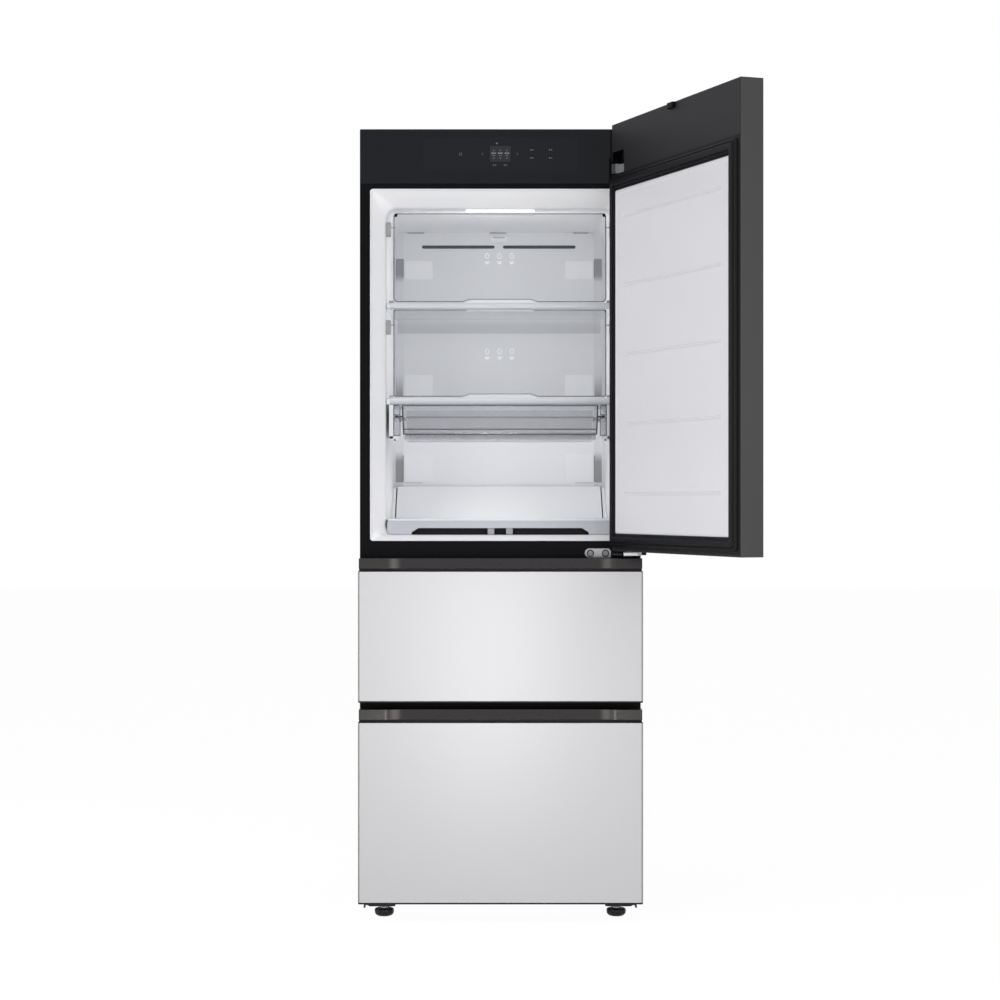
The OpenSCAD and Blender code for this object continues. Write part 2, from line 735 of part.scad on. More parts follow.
// Inner member: a tube that runs in the middle one, with a ledge for the bin
module sliders(z) both_sides() {
    difference() {
        section(20, 4.5, inner_y, rail_len - 10, z, bar_half);
        section(18.5, 6, inner_y - cut, rail_len - 9, z, bar_half - 1.5);
    }
    section(30, 20, inner_y, rail_len - 10, z + bar_half - 2, 2);
}

middle_z = [middle_z0, middle_z1];
lower_z = [lower_z0, lower_z1];

module middle_front() color(panel_white) place() front_plate(middle_z);
module middle_trim() color(trim_brown) place() trim(middle_z1);
module middle_core() color(door_grey) place() core(middle_z);
module middle_gasket() color(rubber_black) place() seal(middle_room_z);
module middle_bin() color(liner_white) place()
    bin(middle_bin_z, middle_rail_z + bar_half, middle_bin_y);
module middle_sliders() color(zinc) place() sliders(middle_rail_z);
module middle_guides() color(zinc) place() guides(middle_rail_z);
module middle_mids() color(zinc) place() mids(middle_rail_z);

module lower_front() color(panel_white) place() front_plate(lower_z);
module lower_trim() color(trim_brown) place() trim(lower_z1);
module lower_core() color(door_grey) place() core(lower_z);
module lower_gasket() color(rubber_black) place() seal(lower_room_z);
module lower_bin() color(liner_white) place()
    bin(lower_bin_z, lower_rail_z + bar_half, lower_bin_y);
module lower_sliders() color(zinc) place() sliders(lower_rail_z);
module lower_guides() color(zinc) place() guides(lower_rail_z);
module lower_mids() color(zinc) place() mids(lower_rail_z);

outer_case();
back_panel();
base_pan();
insulation();
front_frame();
upper_liner();
middle_liner();
lower_liner();
control_panel();
display_board();
ceiling_lamp();
duct_cover();
return_cover();
evaporator();
evaporator_fan();
upper_shelf();
lower_shelf();
floor_shelf();
guard_brackets();
upper_guard();
lower_guard();
tray_carrier();
clear_tray();
compressor();
condenser();
condenser_fan();
drain_pan();
machine_cover();
power_inlet();
upper_hinge();
lower_hinge();
foot_brackets();
foot_left();
foot_right();
roller_brackets();
roller_left();
roller_right();
door_skin();
door_frame();
door_core();
door_liner();
door_gasket();
door_bushes();
door_cap();
middle_front();
middle_trim();
middle_core();
middle_gasket();
middle_bin();
middle_sliders();
middle_guides();
middle_mids();
lower_front();
lower_trim();
lower_core();
lower_gasket();
lower_bin();
lower_sliders();
lower_guides();
lower_mids();
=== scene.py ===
"""Looks of a stand-up kimchi refrigerator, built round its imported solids.

Sizes are in millimetres from the cabinet's middle plane, its front plane and the floor.
Door pieces are modelled closed, and hang() turns them open about the hinge."""
import json
import math

import bpy
from mathutils import Matrix, Vector


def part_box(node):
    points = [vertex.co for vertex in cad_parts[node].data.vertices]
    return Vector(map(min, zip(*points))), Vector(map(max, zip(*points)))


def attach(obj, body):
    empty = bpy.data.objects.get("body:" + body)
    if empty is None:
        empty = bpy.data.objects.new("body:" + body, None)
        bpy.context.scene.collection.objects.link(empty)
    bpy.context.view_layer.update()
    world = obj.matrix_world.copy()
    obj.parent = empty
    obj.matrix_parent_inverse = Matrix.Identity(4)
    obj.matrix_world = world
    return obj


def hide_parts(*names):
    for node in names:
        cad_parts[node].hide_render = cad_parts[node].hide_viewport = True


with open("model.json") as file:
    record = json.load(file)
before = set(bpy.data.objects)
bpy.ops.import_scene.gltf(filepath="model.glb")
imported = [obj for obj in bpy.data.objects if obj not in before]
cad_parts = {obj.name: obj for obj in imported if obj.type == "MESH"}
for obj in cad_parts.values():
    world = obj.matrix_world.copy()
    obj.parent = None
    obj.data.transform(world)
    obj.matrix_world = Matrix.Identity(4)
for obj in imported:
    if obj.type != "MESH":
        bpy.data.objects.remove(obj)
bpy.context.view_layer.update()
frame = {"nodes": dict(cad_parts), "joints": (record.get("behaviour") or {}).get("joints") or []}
nodes = frame["nodes"]

MM = 0.001
case_low, case_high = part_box("outer_case")
MIDDLE = (case_low.x + case_high.x) / 2
FRONT = case_low.y


def at(x, y, z):
    """A place on the refrigerator, in metres in the shared frame."""
    return Vector((MIDDLE + x * MM, FRONT + y * MM, z * MM))


def local(p):
    return (p.x - MIDDLE) / MM, (p.y - FRONT) / MM, p.z / MM


def reach(node):
    """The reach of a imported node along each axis, to a tenth of a millimetre."""
    low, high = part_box(node)
    return tuple((round(a, 1), round(b, 1)) for a, b in zip(local(low), local(high)))


def middle_of(node):
    return tuple((a + b) / 2 for a, b in reach(node))


def turning(joint):
    """A place on a joint's axis, to a tenth of a millimetre."""
    place = next(j for j in frame["joints"] if j["name"] == joint)["pos_m"]
    return tuple(round(c, 1) for c in local(Vector(place)))


# Driving dimensions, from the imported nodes
HALF, BACK, BODY_TOP = (span[1] for span in reach("outer_case"))
BASE = reach("outer_case")[2][0]
INSIDE = reach("front_frame")[0][1] - 0.1        # half the width between the case's sides
PANEL_Z = reach("control_panel")[2]
MOUTH_X, _, MOUTH_Z = reach("upper_liner")
ROOM_HALF = reach("guard_brackets")[0][1]
ROOM_FLOOR = reach("floor_shelf")[2][0]
ROOM_TOP = reach("ceiling_lamp")[2][1]
LOWER_GLASS_Z = reach("tray_carrier")[2][1]      # the carrier hangs under the lower shelf's glass
SHELF_SPACING = 229
UPPER_GLASS_Z = LOWER_GLASS_Z + SHELF_SPACING
FLAP_Y = turning("upper_flap_swing")[1]
FLAP_PIVOT_Z = {name: turning(name + "_swing")[2] for name in ("upper_flap", "lower_flap")}
DOOR_Z = reach("door_frame")[2]
HINGE_X, HINGE_Y, _ = turning("door_swing")
FRONT_HALF = reach("middle_front")[0][1]
FRONT_Y = reach("middle_front")[1][0]            # outer face of the drawer fronts and the closed door
PANEL_BACK_Y = reach("middle_front")[1][1] - 0.2
INNER_Y = reach("middle_core")[1][1] - 0.1       # inner face of the drawer fronts


# ---- camera ----

EYE = (-40, -5422, 988)                          # level with the photo's horizon

bpy.ops.object.camera_add(location=at(*EYE), rotation=(math.pi / 2, 0, 0))
camera = bpy.context.object
camera.data.lens = 82.44
camera.data.sensor_width = 36
camera.data.shift_x = 0.0166
camera.data.clip_end = 60
bpy.context.scene.camera = camera


# ---- modelling ----

def clear_choice():
    bpy.ops.object.select_all(action="DESELECT")


def choose(piece):
    clear_choice()
    piece.select_set(True)
    bpy.context.view_layer.objects.active = piece


def mode(name):
    bpy.ops.object.mode_set(mode=name)


def named(name):
    piece = bpy.context.object
    piece.name = piece.data.name = name
    return piece


def settle():
    bpy.ops.object.transform_apply(location=True, rotation=True, scale=True)


def block(name, x, y, z):
    clear_choice()
    low, high = at(x[0], y[0], z[0]), at(x[1], y[1], z[1])
    bpy.ops.mesh.primitive_cube_add(size=1, location=(low + high) / 2, scale=high - low)
    settle()
    return named(name)


def rod(name, start, end, radius, sides=32):
    clear_choice()
    a, b = at(*start), at(*end)
    turn = (b - a).to_track_quat("Z", "Y").to_euler()
    bpy.ops.mesh.primitive_cylinder_add(vertices=sides, radius=radius * MM, depth=(b - a).length,
                                        location=(a + b) / 2, rotation=turn)
    settle()
    return named(name)


def cone(name, start, end, radius, end_radius, sides=32):
    clear_choice()
    a, b = at(*start), at(*end)
    turn = (b - a).to_track_quat("Z", "Y").to_euler()
    bpy.ops.mesh.primitive_cone_add(vertices=sides, radius1=radius * MM, radius2=end_radius * MM,
                                    depth=(b - a).length, location=(a + b) / 2, rotation=turn)
    settle()
    return named(name)


def loft(name, rings, filled=True):
    """A skin over rings of places, each ring drawn out of the one before it."""
    clear_choice()
    bpy.ops.mesh.primitive_circle_add(vertices=len(rings[0]), radius=1,
                                      fill_type="NGON" if filled else "NOTHING")
    piece = named(name)
    for corner, place in zip(piece.data.vertices, rings[0]):
        corner.co = at(*place)
    bpy.context.tool_settings.mesh_select_mode = (False, True, False)
    for before, after in zip(rings, rings[1:]):
        moves = {tuple(round(c, 7) for c in at(*p)): at(*q) for p, q in zip(before, after)}
        mode("EDIT")
        if before is rings[0]:
            bpy.ops.mesh.select_all(action="SELECT")
        bpy.ops.mesh.extrude_region_move()
        mode("OBJECT")
        for corner in piece.data.vertices:
            if corner.select:
                corner.co = moves[tuple(round(c, 7) for c in corner.co)]
    mode("EDIT")
    bpy.ops.mesh.select_all(action="SELECT")
    bpy.ops.mesh.normals_make_consistent(inside=False)
    mode("OBJECT")
    return piece


def closed_loft(name, rings):
    """A closed tube: the last ring is joined to the first."""
    piece = loft(name, rings + rings[:1], filled=False)
    choose(piece)
    mode("EDIT")
    bpy.ops.mesh.select_all(action="SELECT")
    bpy.ops.mesh.remove_doubles(threshold=0.00001)
    bpy.ops.mesh.normals_make_consistent(inside=False)
    mode("OBJECT")
    return piece


def spread(axis, u, v, w):
    return {"x": (w, u, v), "y": (u, w, v), "z": (u, v, w)}[axis]


def plate(name, corners, axis, span):
    """An outline in the two other axes, drawn out along the given one."""
    return loft(name, [[spread(axis, u, v, w) for u, v in corners] for w in span])


def rounded(u, v, radius, steps=5):
    """The outline of a rectangle with round corners."""
    corners = []
    for i, j, first in ((1, 0, -90), (1, 1, 0), (0, 1, 90), (0, 0, 180)):
        middle_u = u[i] + (radius if i == 0 else -radius)
        middle_v = v[j] + (radius if j == 0 else -radius)
        for step in range(steps + 1):
            a = math.radians(first + 90 * step / steps)
            corners.append((middle_u + radius * math.cos(a), middle_v + radius * math.sin(a)))
    return corners


def rounded_plate(name, x, y, z, radius, axis="y", steps=5):
    pick = {"x": (y, z, x), "y": (x, z, y), "z": (x, y, z)}[axis]
    return plate(name, rounded(pick[0], pick[1], radius, steps), axis, pick[2])


def drop_picks(mesh):
    """Nothing on the mesh stays selected."""
    for group in (mesh.vertices, mesh.edges, mesh.polygons):
        for item in group:
            item.select = False


def pick_edges(piece, test):
    """Selects the edges whose middle and direction pass the test."""
    choose(piece)
    mesh = piece.data
    drop_picks(mesh)
    for edge in mesh.edges:
        a, b = (mesh.vertices[i].co for i in edge.vertices)
        edge.select = bool(test(*local((a + b) / 2), (b - a).normalized()))
    bpy.context.tool_settings.mesh_select_mode = (False, True, False)


def pick_faces(piece, test):
    """Selects the faces whose middle and normal pass the test."""
    choose(piece)
    drop_picks(piece.data)
    for face in piece.data.polygons:
        face.select = bool(test(*local(face.center), face.normal))
    bpy.context.tool_settings.mesh_select_mode = (False, False, True)


def round_edges(piece, test, radius, steps=4):
    pick_edges(piece, test)
    mode("EDIT")
    bpy.ops.mesh.bevel(offset=radius * MM, segments=steps, affect="EDGES")
    mode("OBJECT")
    return piece


def apply_modifier(piece, kind, **settings):
    """Gives a piece a modifier with these settings, and makes it part of the mesh."""
    choose(piece)
    bpy.ops.object.modifier_add(type=kind)
    modifier = piece.modifiers[-1]
    for key, value in settings.items():
        setattr(modifier, key, value)
    bpy.ops.object.modifier_apply(modifier=modifier.name)
    return piece


def carve(piece, *cutters):
    """Cuts the cutters' shapes out of a piece, and removes the cutters."""
    for cutter in cutters:
        apply_modifier(piece, "BOOLEAN", operation="DIFFERENCE", object=cutter, solver="EXACT")
        bpy.data.objects.remove(cutter)
    return piece


def weld(piece, *others):
    """Joins pieces into the first one, each as its own shell."""
    clear_choice()
    for other in (piece, *others):
        other.select_set(True)
    bpy.context.view_layer.objects.active = piece
    bpy.ops.object.join()
    return piece


def as_one(name, pieces):
    """Joins pieces into one that bears the name."""
    weld(*pieces)
    pieces[0].name = pieces[0].data.name = name
    return pieces[0]


def side(s, near, far):
    """A span across one side of the cabinet: s is -1 on the left and 1 on the right."""
    return sorted((s * near, s * far))


def circle(radius, sides):
    """The corners of a circle about nothing."""
    turns = [math.tau * k / sides for k in range(sides)]
    return [(radius * math.cos(a), radius * math.sin(a)) for a in turns]


def soften(piece, width=0.6, segments=2, angle=32, smooth=38):
    """Breaks the sharp edges and smooths the round faces."""
    if width:
        apply_modifier(piece, "BEVEL", width=width * MM, segments=segments, limit_method="ANGLE",
                       angle_limit=math.radians(angle), use_clamp_overlap=True, miter_outer="MITER_ARC")
    choose(piece)
    bpy.ops.object.shade_smooth_by_angle(angle=math.radians(smooth))
    return apply_modifier(piece, "WEIGHTED_NORMAL", keep_sharp=True)


def thicken(piece, thickness, offset):
    return apply_modifier(piece, "SOLIDIFY", thickness=thickness * MM, offset=offset,
                          use_even_offset=True)


def tint(piece, material, test):
    """Gives the faces that pass the test a second material."""
    if not piece.data.materials:
        piece.data.materials.append(None)
    piece.data.materials.append(material)
    index = len(piece.data.materials) - 1
    for face in piece.data.polygons:
        if test(*local(face.center), face.normal):
            face.material_index = index
    return piece


swing = next(j for j in frame["joints"] if j["name"] == "door_swing")
HINGE = Vector(swing["pos_m"])
OPEN = math.radians(-swing["range_deg"][0])
HINGE_SIDE = 8.5                                 # the door's liner and seal reach further there


def widen(piece):
    """Moves the half on the hinge side outwards."""
    for corner in piece.data.vertices:
        if local(corner.co)[0] > 0:
            corner.co.x += HINGE_SIDE * MM
    return piece


def hang(piece):
    """Turns a door piece from its closed place to the open one."""
    opened = Matrix.Rotation(OPEN, 4, "Z")
    piece.data.transform(Matrix.Translation(HINGE) @ opened @ Matrix.Translation(-HINGE))
    return piece


def fit(piece, material, body, slot, *replaced):
    """Paints a piece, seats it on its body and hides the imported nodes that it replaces."""
    if len(piece.data.materials):
        piece.data.materials[0] = material
    else:
        piece.data.materials.append(material)
    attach(piece, body)
    if replaced:
        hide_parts(*replaced)
    return piece


# ---- materials ----

def linear(code):
    """A screen colour such as e0e0e2 as linear light."""
    parts = [int(code[i:i + 2], 16) / 255 for i in (0, 2, 4)]
    return [c / 12.92 if c <= 0.04045 else ((c + 0.055) / 1.055) ** 2.4 for c in parts] + [1]


def finish_named(name, code, rough, drift=0.03, spread_of=0.06, grain=900, bump=0.05, depth=0.2,
                 stretch=(1, 1, 1), clouds=4, shader=None, see_through=1.0):
    """A moulded, painted or rolled surface: its colour drifts slowly, and a fine grain moves its
    roughness and its relief. depth is the grain's height in millimetres."""
    material = bpy.data.materials.new(name)
    material.use_nodes = True
    tree = material.node_tree
    surface = tree.nodes["Principled BSDF"]
    place = tree.nodes.new("ShaderNodeTexCoord")
    turn = tree.nodes.new("ShaderNodeMapping")
    turn.inputs["Scale"].default_value = stretch
    tree.links.new(place.outputs["Object"], turn.inputs["Vector"])
    cloud, fine = (tree.nodes.new("ShaderNodeTexNoise") for _ in range(2))
    cloud.inputs["Scale"].default_value = clouds
    cloud.inputs["Detail"].default_value = 3
    fine.inputs["Scale"].default_value = grain
    fine.inputs["Detail"].default_value = 2
    tree.links.new(place.outputs["Object"], cloud.inputs["Vector"])
    tree.links.new(turn.outputs["Vector"], fine.inputs["Vector"])
    tone = tree.nodes.new("ShaderNodeMix")
    tone.data_type = "RGBA"
    base = linear(code)
    tone.inputs["A"].default_value = [c * (1 - drift) for c in base[:3]] + [1]
    tone.inputs["B"].default_value = [min(1, c * (1 + drift)) for c in base[:3]] + [1]
    tree.links.new(cloud.outputs["Fac"], tone.inputs["Factor"])
    tree.links.new(tone.outputs["Result"], surface.inputs["Base Color"])
    level = tree.nodes.new("ShaderNodeMapRange")
    level.inputs["To Min"].default_value = max(0.02, rough - spread_of)
    level.inputs["To Max"].default_value = min(1, rough + spread_of)
    tree.links.new(fine.outputs["Fac"], level.inputs["Value"])
    tree.links.new(level.outputs["Result"], surface.inputs["Roughness"])
    if bump:
        relief = tree.nodes.new("ShaderNodeBump")
        relief.inputs["Strength"].default_value = bump
        relief.inputs["Distance"].default_value = depth * MM
        tree.links.new(fine.outputs["Fac"], relief.inputs["Height"])
        tree.links.new(relief.outputs["Normal"], surface.inputs["Normal"])
    for socket, value in (shader or {}).items():
        surface.inputs[socket].default_value = value
    if see_through < 1:
        surface.inputs["Alpha"].default_value = see_through
    return material


def dark(name, code, rough, mirror, **more):
    """A dark surface: mirror says how strongly it mirrors the pale studio."""
    return finish_named(name, code, rough, shader={"Specular IOR Level": mirror}, **more)


def moulded(name, code, rough, grain=500, **more):
    return finish_named(name, code, rough, grain=grain, bump=0.05, depth=0.05, **more)


def metal(name, code, rough, **more):
    return finish_named(name, code, rough, shader={"Metallic": 1.0}, **more)


def clear(name, code, rough, share, **more):
    """Clear plastic or glass: share says how much of it is seen."""
    return finish_named(name, code, rough, see_through=share, shader={"IOR": 1.49}, bump=0, **more)


def painted_fade(name, code, other, heights):
    """Paint that changes to the other colour between two heights: painted shade that fades in or out.
    """
    material = moulded(name, code, 0.6)
    tree = material.node_tree
    split = tree.nodes.new("ShaderNodeSeparateXYZ")
    ramp = tree.nodes.new("ShaderNodeMapRange")
    blend = tree.nodes.new("ShaderNodeMix")
    blend.data_type = "RGBA"
    ramp.inputs["From Min"].default_value = at(0, 0, heights[0]).z
    ramp.inputs["From Max"].default_value = at(0, 0, heights[1]).z
    tree.links.new(tree.nodes["Texture Coordinate"].outputs["Object"], split.inputs["Vector"])
    tree.links.new(split.outputs["Z"], ramp.inputs["Value"])
    tree.links.new(ramp.outputs["Result"], blend.inputs["Factor"])
    tree.links.new(tree.nodes["Mix"].outputs["Result"], blend.inputs["A"])
    blend.inputs["B"].default_value = linear(other)
    tree.links.new(blend.outputs["Result"], tree.nodes["Principled BSDF"].inputs["Base Color"])
    return material


def glow(name, code, strength):
    """A lit surface."""
    material = finish_named(name, code, 0.4, drift=0.02, bump=0)
    surface = material.node_tree.nodes["Principled BSDF"]
    surface.inputs["Emission Color"].default_value = linear(code)
    surface.inputs["Emission Strength"].default_value = strength
    return material


case_paint = dark("case_paint", "26272a", 0.42, 0.2, grain=700, bump=0.12, depth=0.05)
frame_black = dark("frame_black", "100f12", 0.45, 0.03, grain=1200, bump=0.1, depth=0.04)
panel_glass = dark("panel_glass", "17191d", 0.1, 0.13, spread_of=0.02, bump=0, drift=0.06)
window_glass = dark("window_glass", "1a1c20", 0.1, 0.13, spread_of=0.02, bump=0, drift=0.05)
mark_paint = finish_named("mark_paint", "84878d", 0.5, bump=0)
mark_dim = finish_named("mark_dim", "5e6166", 0.5, bump=0)
window_light = dark("window_light", "2b2c30", 0.3, 0.15, bump=0)
liner_white = finish_named("liner_white", "f7f7f9", 0.34, grain=260, bump=0.06, depth=0.15, drift=0.012)
lamp_light = glow("lamp_light", "ffffff", 2.6)
lamp_shell = moulded("lamp_shell", "ececee", 0.3, grain=900)
duct_white = finish_named("duct_white", "e6e7ea", 0.36, grain=500, bump=0.08, depth=0.05, drift=0.015)
duct_pad = moulded("duct_pad", "f5f6f9", 0.3, drift=0.01)
# a darker copy of duct_pad: painted shade on the pads in the lower room
low_pad_shaded = moulded("low_pad_shaded", "e9eaed", 0.3, drift=0.01)
# outlet paints, darker where the openings are: painted shade that fades along the height
top_outlet_shade = painted_fade("top_outlet_shade", "e6e7ea", "9c9ca0", (1552, 1574))
middle_outlet_shade = painted_fade("middle_outlet_shade", "a0a0a3", "e6e7ea", (1262, 1316))
low_outlet_shade = painted_fade("low_outlet_shade", "a0a0a1", "e6e7ea", (1088, 1114))
# greys for painted shadow in the gaps and creases round the duct cover, and for painted shade on its
# slanted edges and on the sensor's top
gap_shade_grey = moulded("gap_shade_grey", "86888b", 0.5)
soft_shade_grey = moulded("soft_shade_grey", "c2c3c5", 0.5)
# near black behind the air slots: painted shade
slot_shade = moulded("slot_shade", "020203", 0.6)
shelf_glass = clear("shelf_glass", "a3abab", 0.06, 0.2)
shelf_trim = moulded("shelf_trim", "d5d8dc", 0.22, grain=400, see_through=0.9)
slope_white = finish_named("slope_white", "f2f2f4", 0.36, grain=500, bump=0.08, depth=0.05, drift=0.015)
shelf_end = moulded("shelf_end", "dddde1", 0.3, grain=400)
guard_clear = clear("guard_clear", "6e737a", 0.12, 0.17)
guard_edge = clear("guard_edge", "696c72", 0.2, 0.6)
# the flaps' top rim, paler than the sides: painted light from the lamp above
guard_top_lit = clear("guard_top_lit", "83868b", 0.2, 0.7)
guard_notch = clear("guard_notch", "8c8f94", 0.2, 0.4)
guard_pin = clear("guard_pin", "c3c7cc", 0.2, 0.45)
shelf_lip = clear("shelf_lip", "7c8084", 0.2, 0.09)
end_cap = moulded("end_cap", "d2d4d8", 0.3, grain=400)
# a pale strip near the flaps' top: painted reflection of the ceiling lamp
guard_lamp_glint = finish_named("guard_lamp_glint", "c6c8cb", 0.3, bump=0)
# the lower shelf's trim, darker towards its bottom: painted shade
lower_trim = painted_fade("lower_trim", "aeb1b5", "e0e2e5", (1219, 1232))
mark_white = finish_named("mark_white", "f4f5f7", 0.5, bump=0, see_through=0.9)
bracket_grey = finish_named("bracket_grey", "8e8f92", 0.4, grain=900, bump=0.15, depth=0.05)
tray_clear = clear("tray_clear", "8d9098", 0.12, 0.2)
tray_base = clear("tray_base", "989ba2", 0.12, 0.5)
tray_edge = clear("tray_edge", "393c42", 0.2, 0.85)
tray_soft = clear("tray_soft", "6f7379", 0.2, 0.22)
carrier_clear = clear("carrier_clear", "a9acb4", 0.18, 0.45)
carrier_white = moulded("carrier_white", "d4d6d9", 0.25, grain=400)
under_shade = dark("under_shade", "1e1e20", 0.5, 0.1, bump=0.05, depth=0.05)
shelf_grey = finish_named("shelf_grey", "abaeb5", 0.3, bump=0.06, depth=0.05, grain=500)
door_graphite = dark("door_graphite", "3d3d3e", 0.46, 0.2, grain=1300, bump=0.14, depth=0.04)
door_dark = dark("door_dark", "212124", 0.5, 0.12, grain=1300, bump=0.14, depth=0.04)
door_white = finish_named("door_white", "dcdbdf", 0.4, grain=180, bump=0.05, depth=0.3, drift=0.015)
seal_rubber = dark("seal_rubber", "111113", 0.5, 0.1, grain=500, bump=0.2, depth=0.06, drift=0.1)
panel_white = finish_named("panel_white", "c8c8ca", 0.3, grain=900, bump=0.05, depth=0.02, drift=0.006,
                           stretch=(1, 1, 0.02), spread_of=0.04)
handle_paint = metal("handle_paint", "363434", 0.28, grain=1600, bump=0.02, depth=0.02, spread_of=0.03,
                     stretch=(0.03, 1, 1))
edge_dark = dark("edge_dark", "262628", 0.4, 0.06, grain=900, bump=0.08, depth=0.03)
edge_light = dark("edge_light", "929294", 0.4, 0.2, grain=900, bump=0.08, depth=0.03)
hinge_steel = metal("hinge_steel", "707072", 0.32, grain=900, bump=0.12, depth=0.03,
                    stretch=(0.05, 1, 1))
screw_steel = metal("screw_steel", "8d8d90", 0.28, grain=900, bump=0.1, depth=0.03)
arm_steel = metal("arm_steel", "9c9c9e", 0.3, grain=900, bump=0.12, depth=0.03)
screw_dark = metal("screw_dark", "5a5a5c", 0.28, grain=900, bump=0.1, depth=0.03)
hinge_grey = finish_named("hinge_grey", "87888b", 0.4, grain=700, bump=0.1, depth=0.05)
# a darker copy of hinge_grey: painted shade on the upper hinge head's slanted side
hinge_grey_shaded = dark("hinge_grey_shaded", "3c3c3f", 0.4, 0.15, grain=700, bump=0.1, depth=0.05)
cap_black = dark("cap_black", "08080a", 0.45, 0.05, grain=900, bump=0.15, depth=0.05)
zinc = metal("zinc", "b9bbbd", 0.34, grain=500, bump=0.1, depth=0.03, drift=0.08, clouds=40)
foot_black = dark("foot_black", "070708", 0.42, 0.25, grain=700, bump=0.2, depth=0.08)
tyre_black = dark("tyre_black", "202021", 0.6, 0.2, grain=500, bump=0.25, depth=0.1)
foam_cream = finish_named("foam_cream", "e4d9a4", 0.85, grain=300, bump=0.4, depth=0.6, drift=0.06)
board_green = finish_named("board_green", "1d5a34", 0.4, grain=300, bump=0.2, depth=0.2)
fin_metal = metal("fin_metal", "c6c8ca", 0.3, grain=300, bump=0.1, depth=0.05)
fan_white = finish_named("fan_white", "e6e6e4", 0.45, grain=500, bump=0.1, depth=0.05)
fan_black = dark("fan_black", "1a1a1c", 0.45, 0.2, grain=500, bump=0.1, depth=0.05)
back_steel = finish_named("back_steel", "7f8285", 0.45, grain=500, bump=0.15, depth=0.05, drift=0.05,
                          clouds=30, shader={"Metallic": 0.6})
machine_black = dark("machine_black", "151517", 0.35, 0.25, grain=400, bump=0.2, depth=0.08)
pan_dark = dark("pan_dark", "333437", 0.5, 0.2, grain=400, bump=0.2, depth=0.08)
bin_frost = finish_named("bin_frost", "e3e6ea", 0.35, grain=350, bump=0.08, depth=0.05,
                         see_through=0.82)
bin_rim = finish_named("bin_rim", "f0f1f3", 0.35, grain=350, bump=0.06, depth=0.05)

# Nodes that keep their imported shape
carried = {
    foam_cream: ["insulation", "door_core"],
    board_green: ["display_board"],
    fin_metal: ["evaporator"],
    fan_white: ["evaporator_fan", "door_bushes"],
    machine_black: ["compressor"],
    pan_dark: ["condenser", "drain_pan"],
    fan_black: ["condenser_fan"],
    zinc: ["middle_guides", "middle_mids", "middle_sliders", "lower_guides", "lower_mids",
           "lower_sliders", "base_pan"],
    liner_white: ["middle_liner", "lower_liner"],
}


def repaint(node, material):
    """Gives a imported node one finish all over."""
    piece = nodes[node]
    if not piece.material_slots:
        piece.data.materials.append(material)
    for slot in piece.material_slots:
        slot.material = material


for node in nodes:
    repaint(node, door_graphite)
for material, group in carried.items():
    for node in group:
        repaint(node, material)


# ---- light, floor and background ----

def seen_rays(tree):
    """1 for the rays that look at a surface, 0 for those that it lights."""
    path = tree.nodes.new("ShaderNodeLightPath")
    seen = tree.nodes.new("ShaderNodeMath")
    seen.operation = "MAXIMUM"
    tree.links.new(path.outputs["Is Camera Ray"], seen.inputs[0])
    tree.links.new(path.outputs["Is Glossy Ray"], seen.inputs[1])
    both = tree.nodes.new("ShaderNodeMath")
    both.operation = "MAXIMUM"
    tree.links.new(seen.outputs[0], both.inputs[0])
    tree.links.new(path.outputs["Is Transmission Ray"], both.inputs[1])
    return both.outputs[0]


WORLD_LEVEL = 0.36                               # what the world lights with; it is seen as 1
PAPER_GREY = 0.45                                # the floor's colour where it lights and takes shadow
PAPER_GLOW = 1.19                                # the floor's own light where it is seen
PAPER_SHARE = 0.8                                # how much of what is seen is that light

world = bpy.data.worlds.new("studio")
bpy.context.scene.world = world
world.use_nodes = True
sky = world.node_tree.nodes["Background"]
sky.inputs["Color"].default_value = (1, 1, 1, 1)
level = world.node_tree.nodes.new("ShaderNodeMapRange")
level.inputs["To Min"].default_value = WORLD_LEVEL
level.inputs["To Max"].default_value = 1.0
world.node_tree.links.new(seen_rays(world.node_tree), level.inputs["Value"])
world.node_tree.links.new(level.outputs["Result"], sky.inputs["Strength"])


def floor_paper():
    """Pale paper: matt under the object's shadow, white where it is looked at."""
    paper = bpy.data.materials.new("paper")
    paper.use_nodes = True
    tree = paper.node_tree
    matt = tree.nodes["Principled BSDF"]
    matt.inputs["Base Color"].default_value = (PAPER_GREY, PAPER_GREY, PAPER_GREY, 1)
    matt.inputs["Roughness"].default_value = 0.9
    matt.inputs["Specular IOR Level"].default_value = 0.0
    lit = tree.nodes.new("ShaderNodeEmission")
    lit.inputs["Color"].default_value = (1, 1, 1, 1)
    lit.inputs["Strength"].default_value = PAPER_GLOW
    both = tree.nodes.new("ShaderNodeMixShader")
    share = tree.nodes.new("ShaderNodeMath")
    share.operation = "MULTIPLY"
    share.inputs[1].default_value = PAPER_SHARE
    tree.links.new(seen_rays(tree), share.inputs[0])
    tree.links.new(share.outputs[0], both.inputs[0])
    tree.links.new(matt.outputs[0], both.inputs[1])
    tree.links.new(lit.outputs[0], both.inputs[2])
    tree.links.new(both.outputs[0], tree.nodes["Material Output"].inputs["Surface"])
    return paper


clear_choice()
bpy.ops.mesh.primitive_plane_add(size=40, location=(0, 0, -0.0005))
floor = named("floor")
settle()
floor.data.materials.append(floor_paper())


def softbox(name, place, aim, size, power):
    """A flat lamp that stands at a place and faces its aim."""
    clear_choice()
    spot, target = at(*place), at(*aim)
    turn = (target - spot).to_track_quat("-Z", "Y").to_euler()
    bpy.ops.object.light_add(type="AREA", location=spot, rotation=turn)
    lamp = bpy.context.object
    lamp.name = name
    lamp.data.shape = "RECTANGLE"
    lamp.data.size, lamp.data.size_y = size
    lamp.data.energy = power
    return lamp


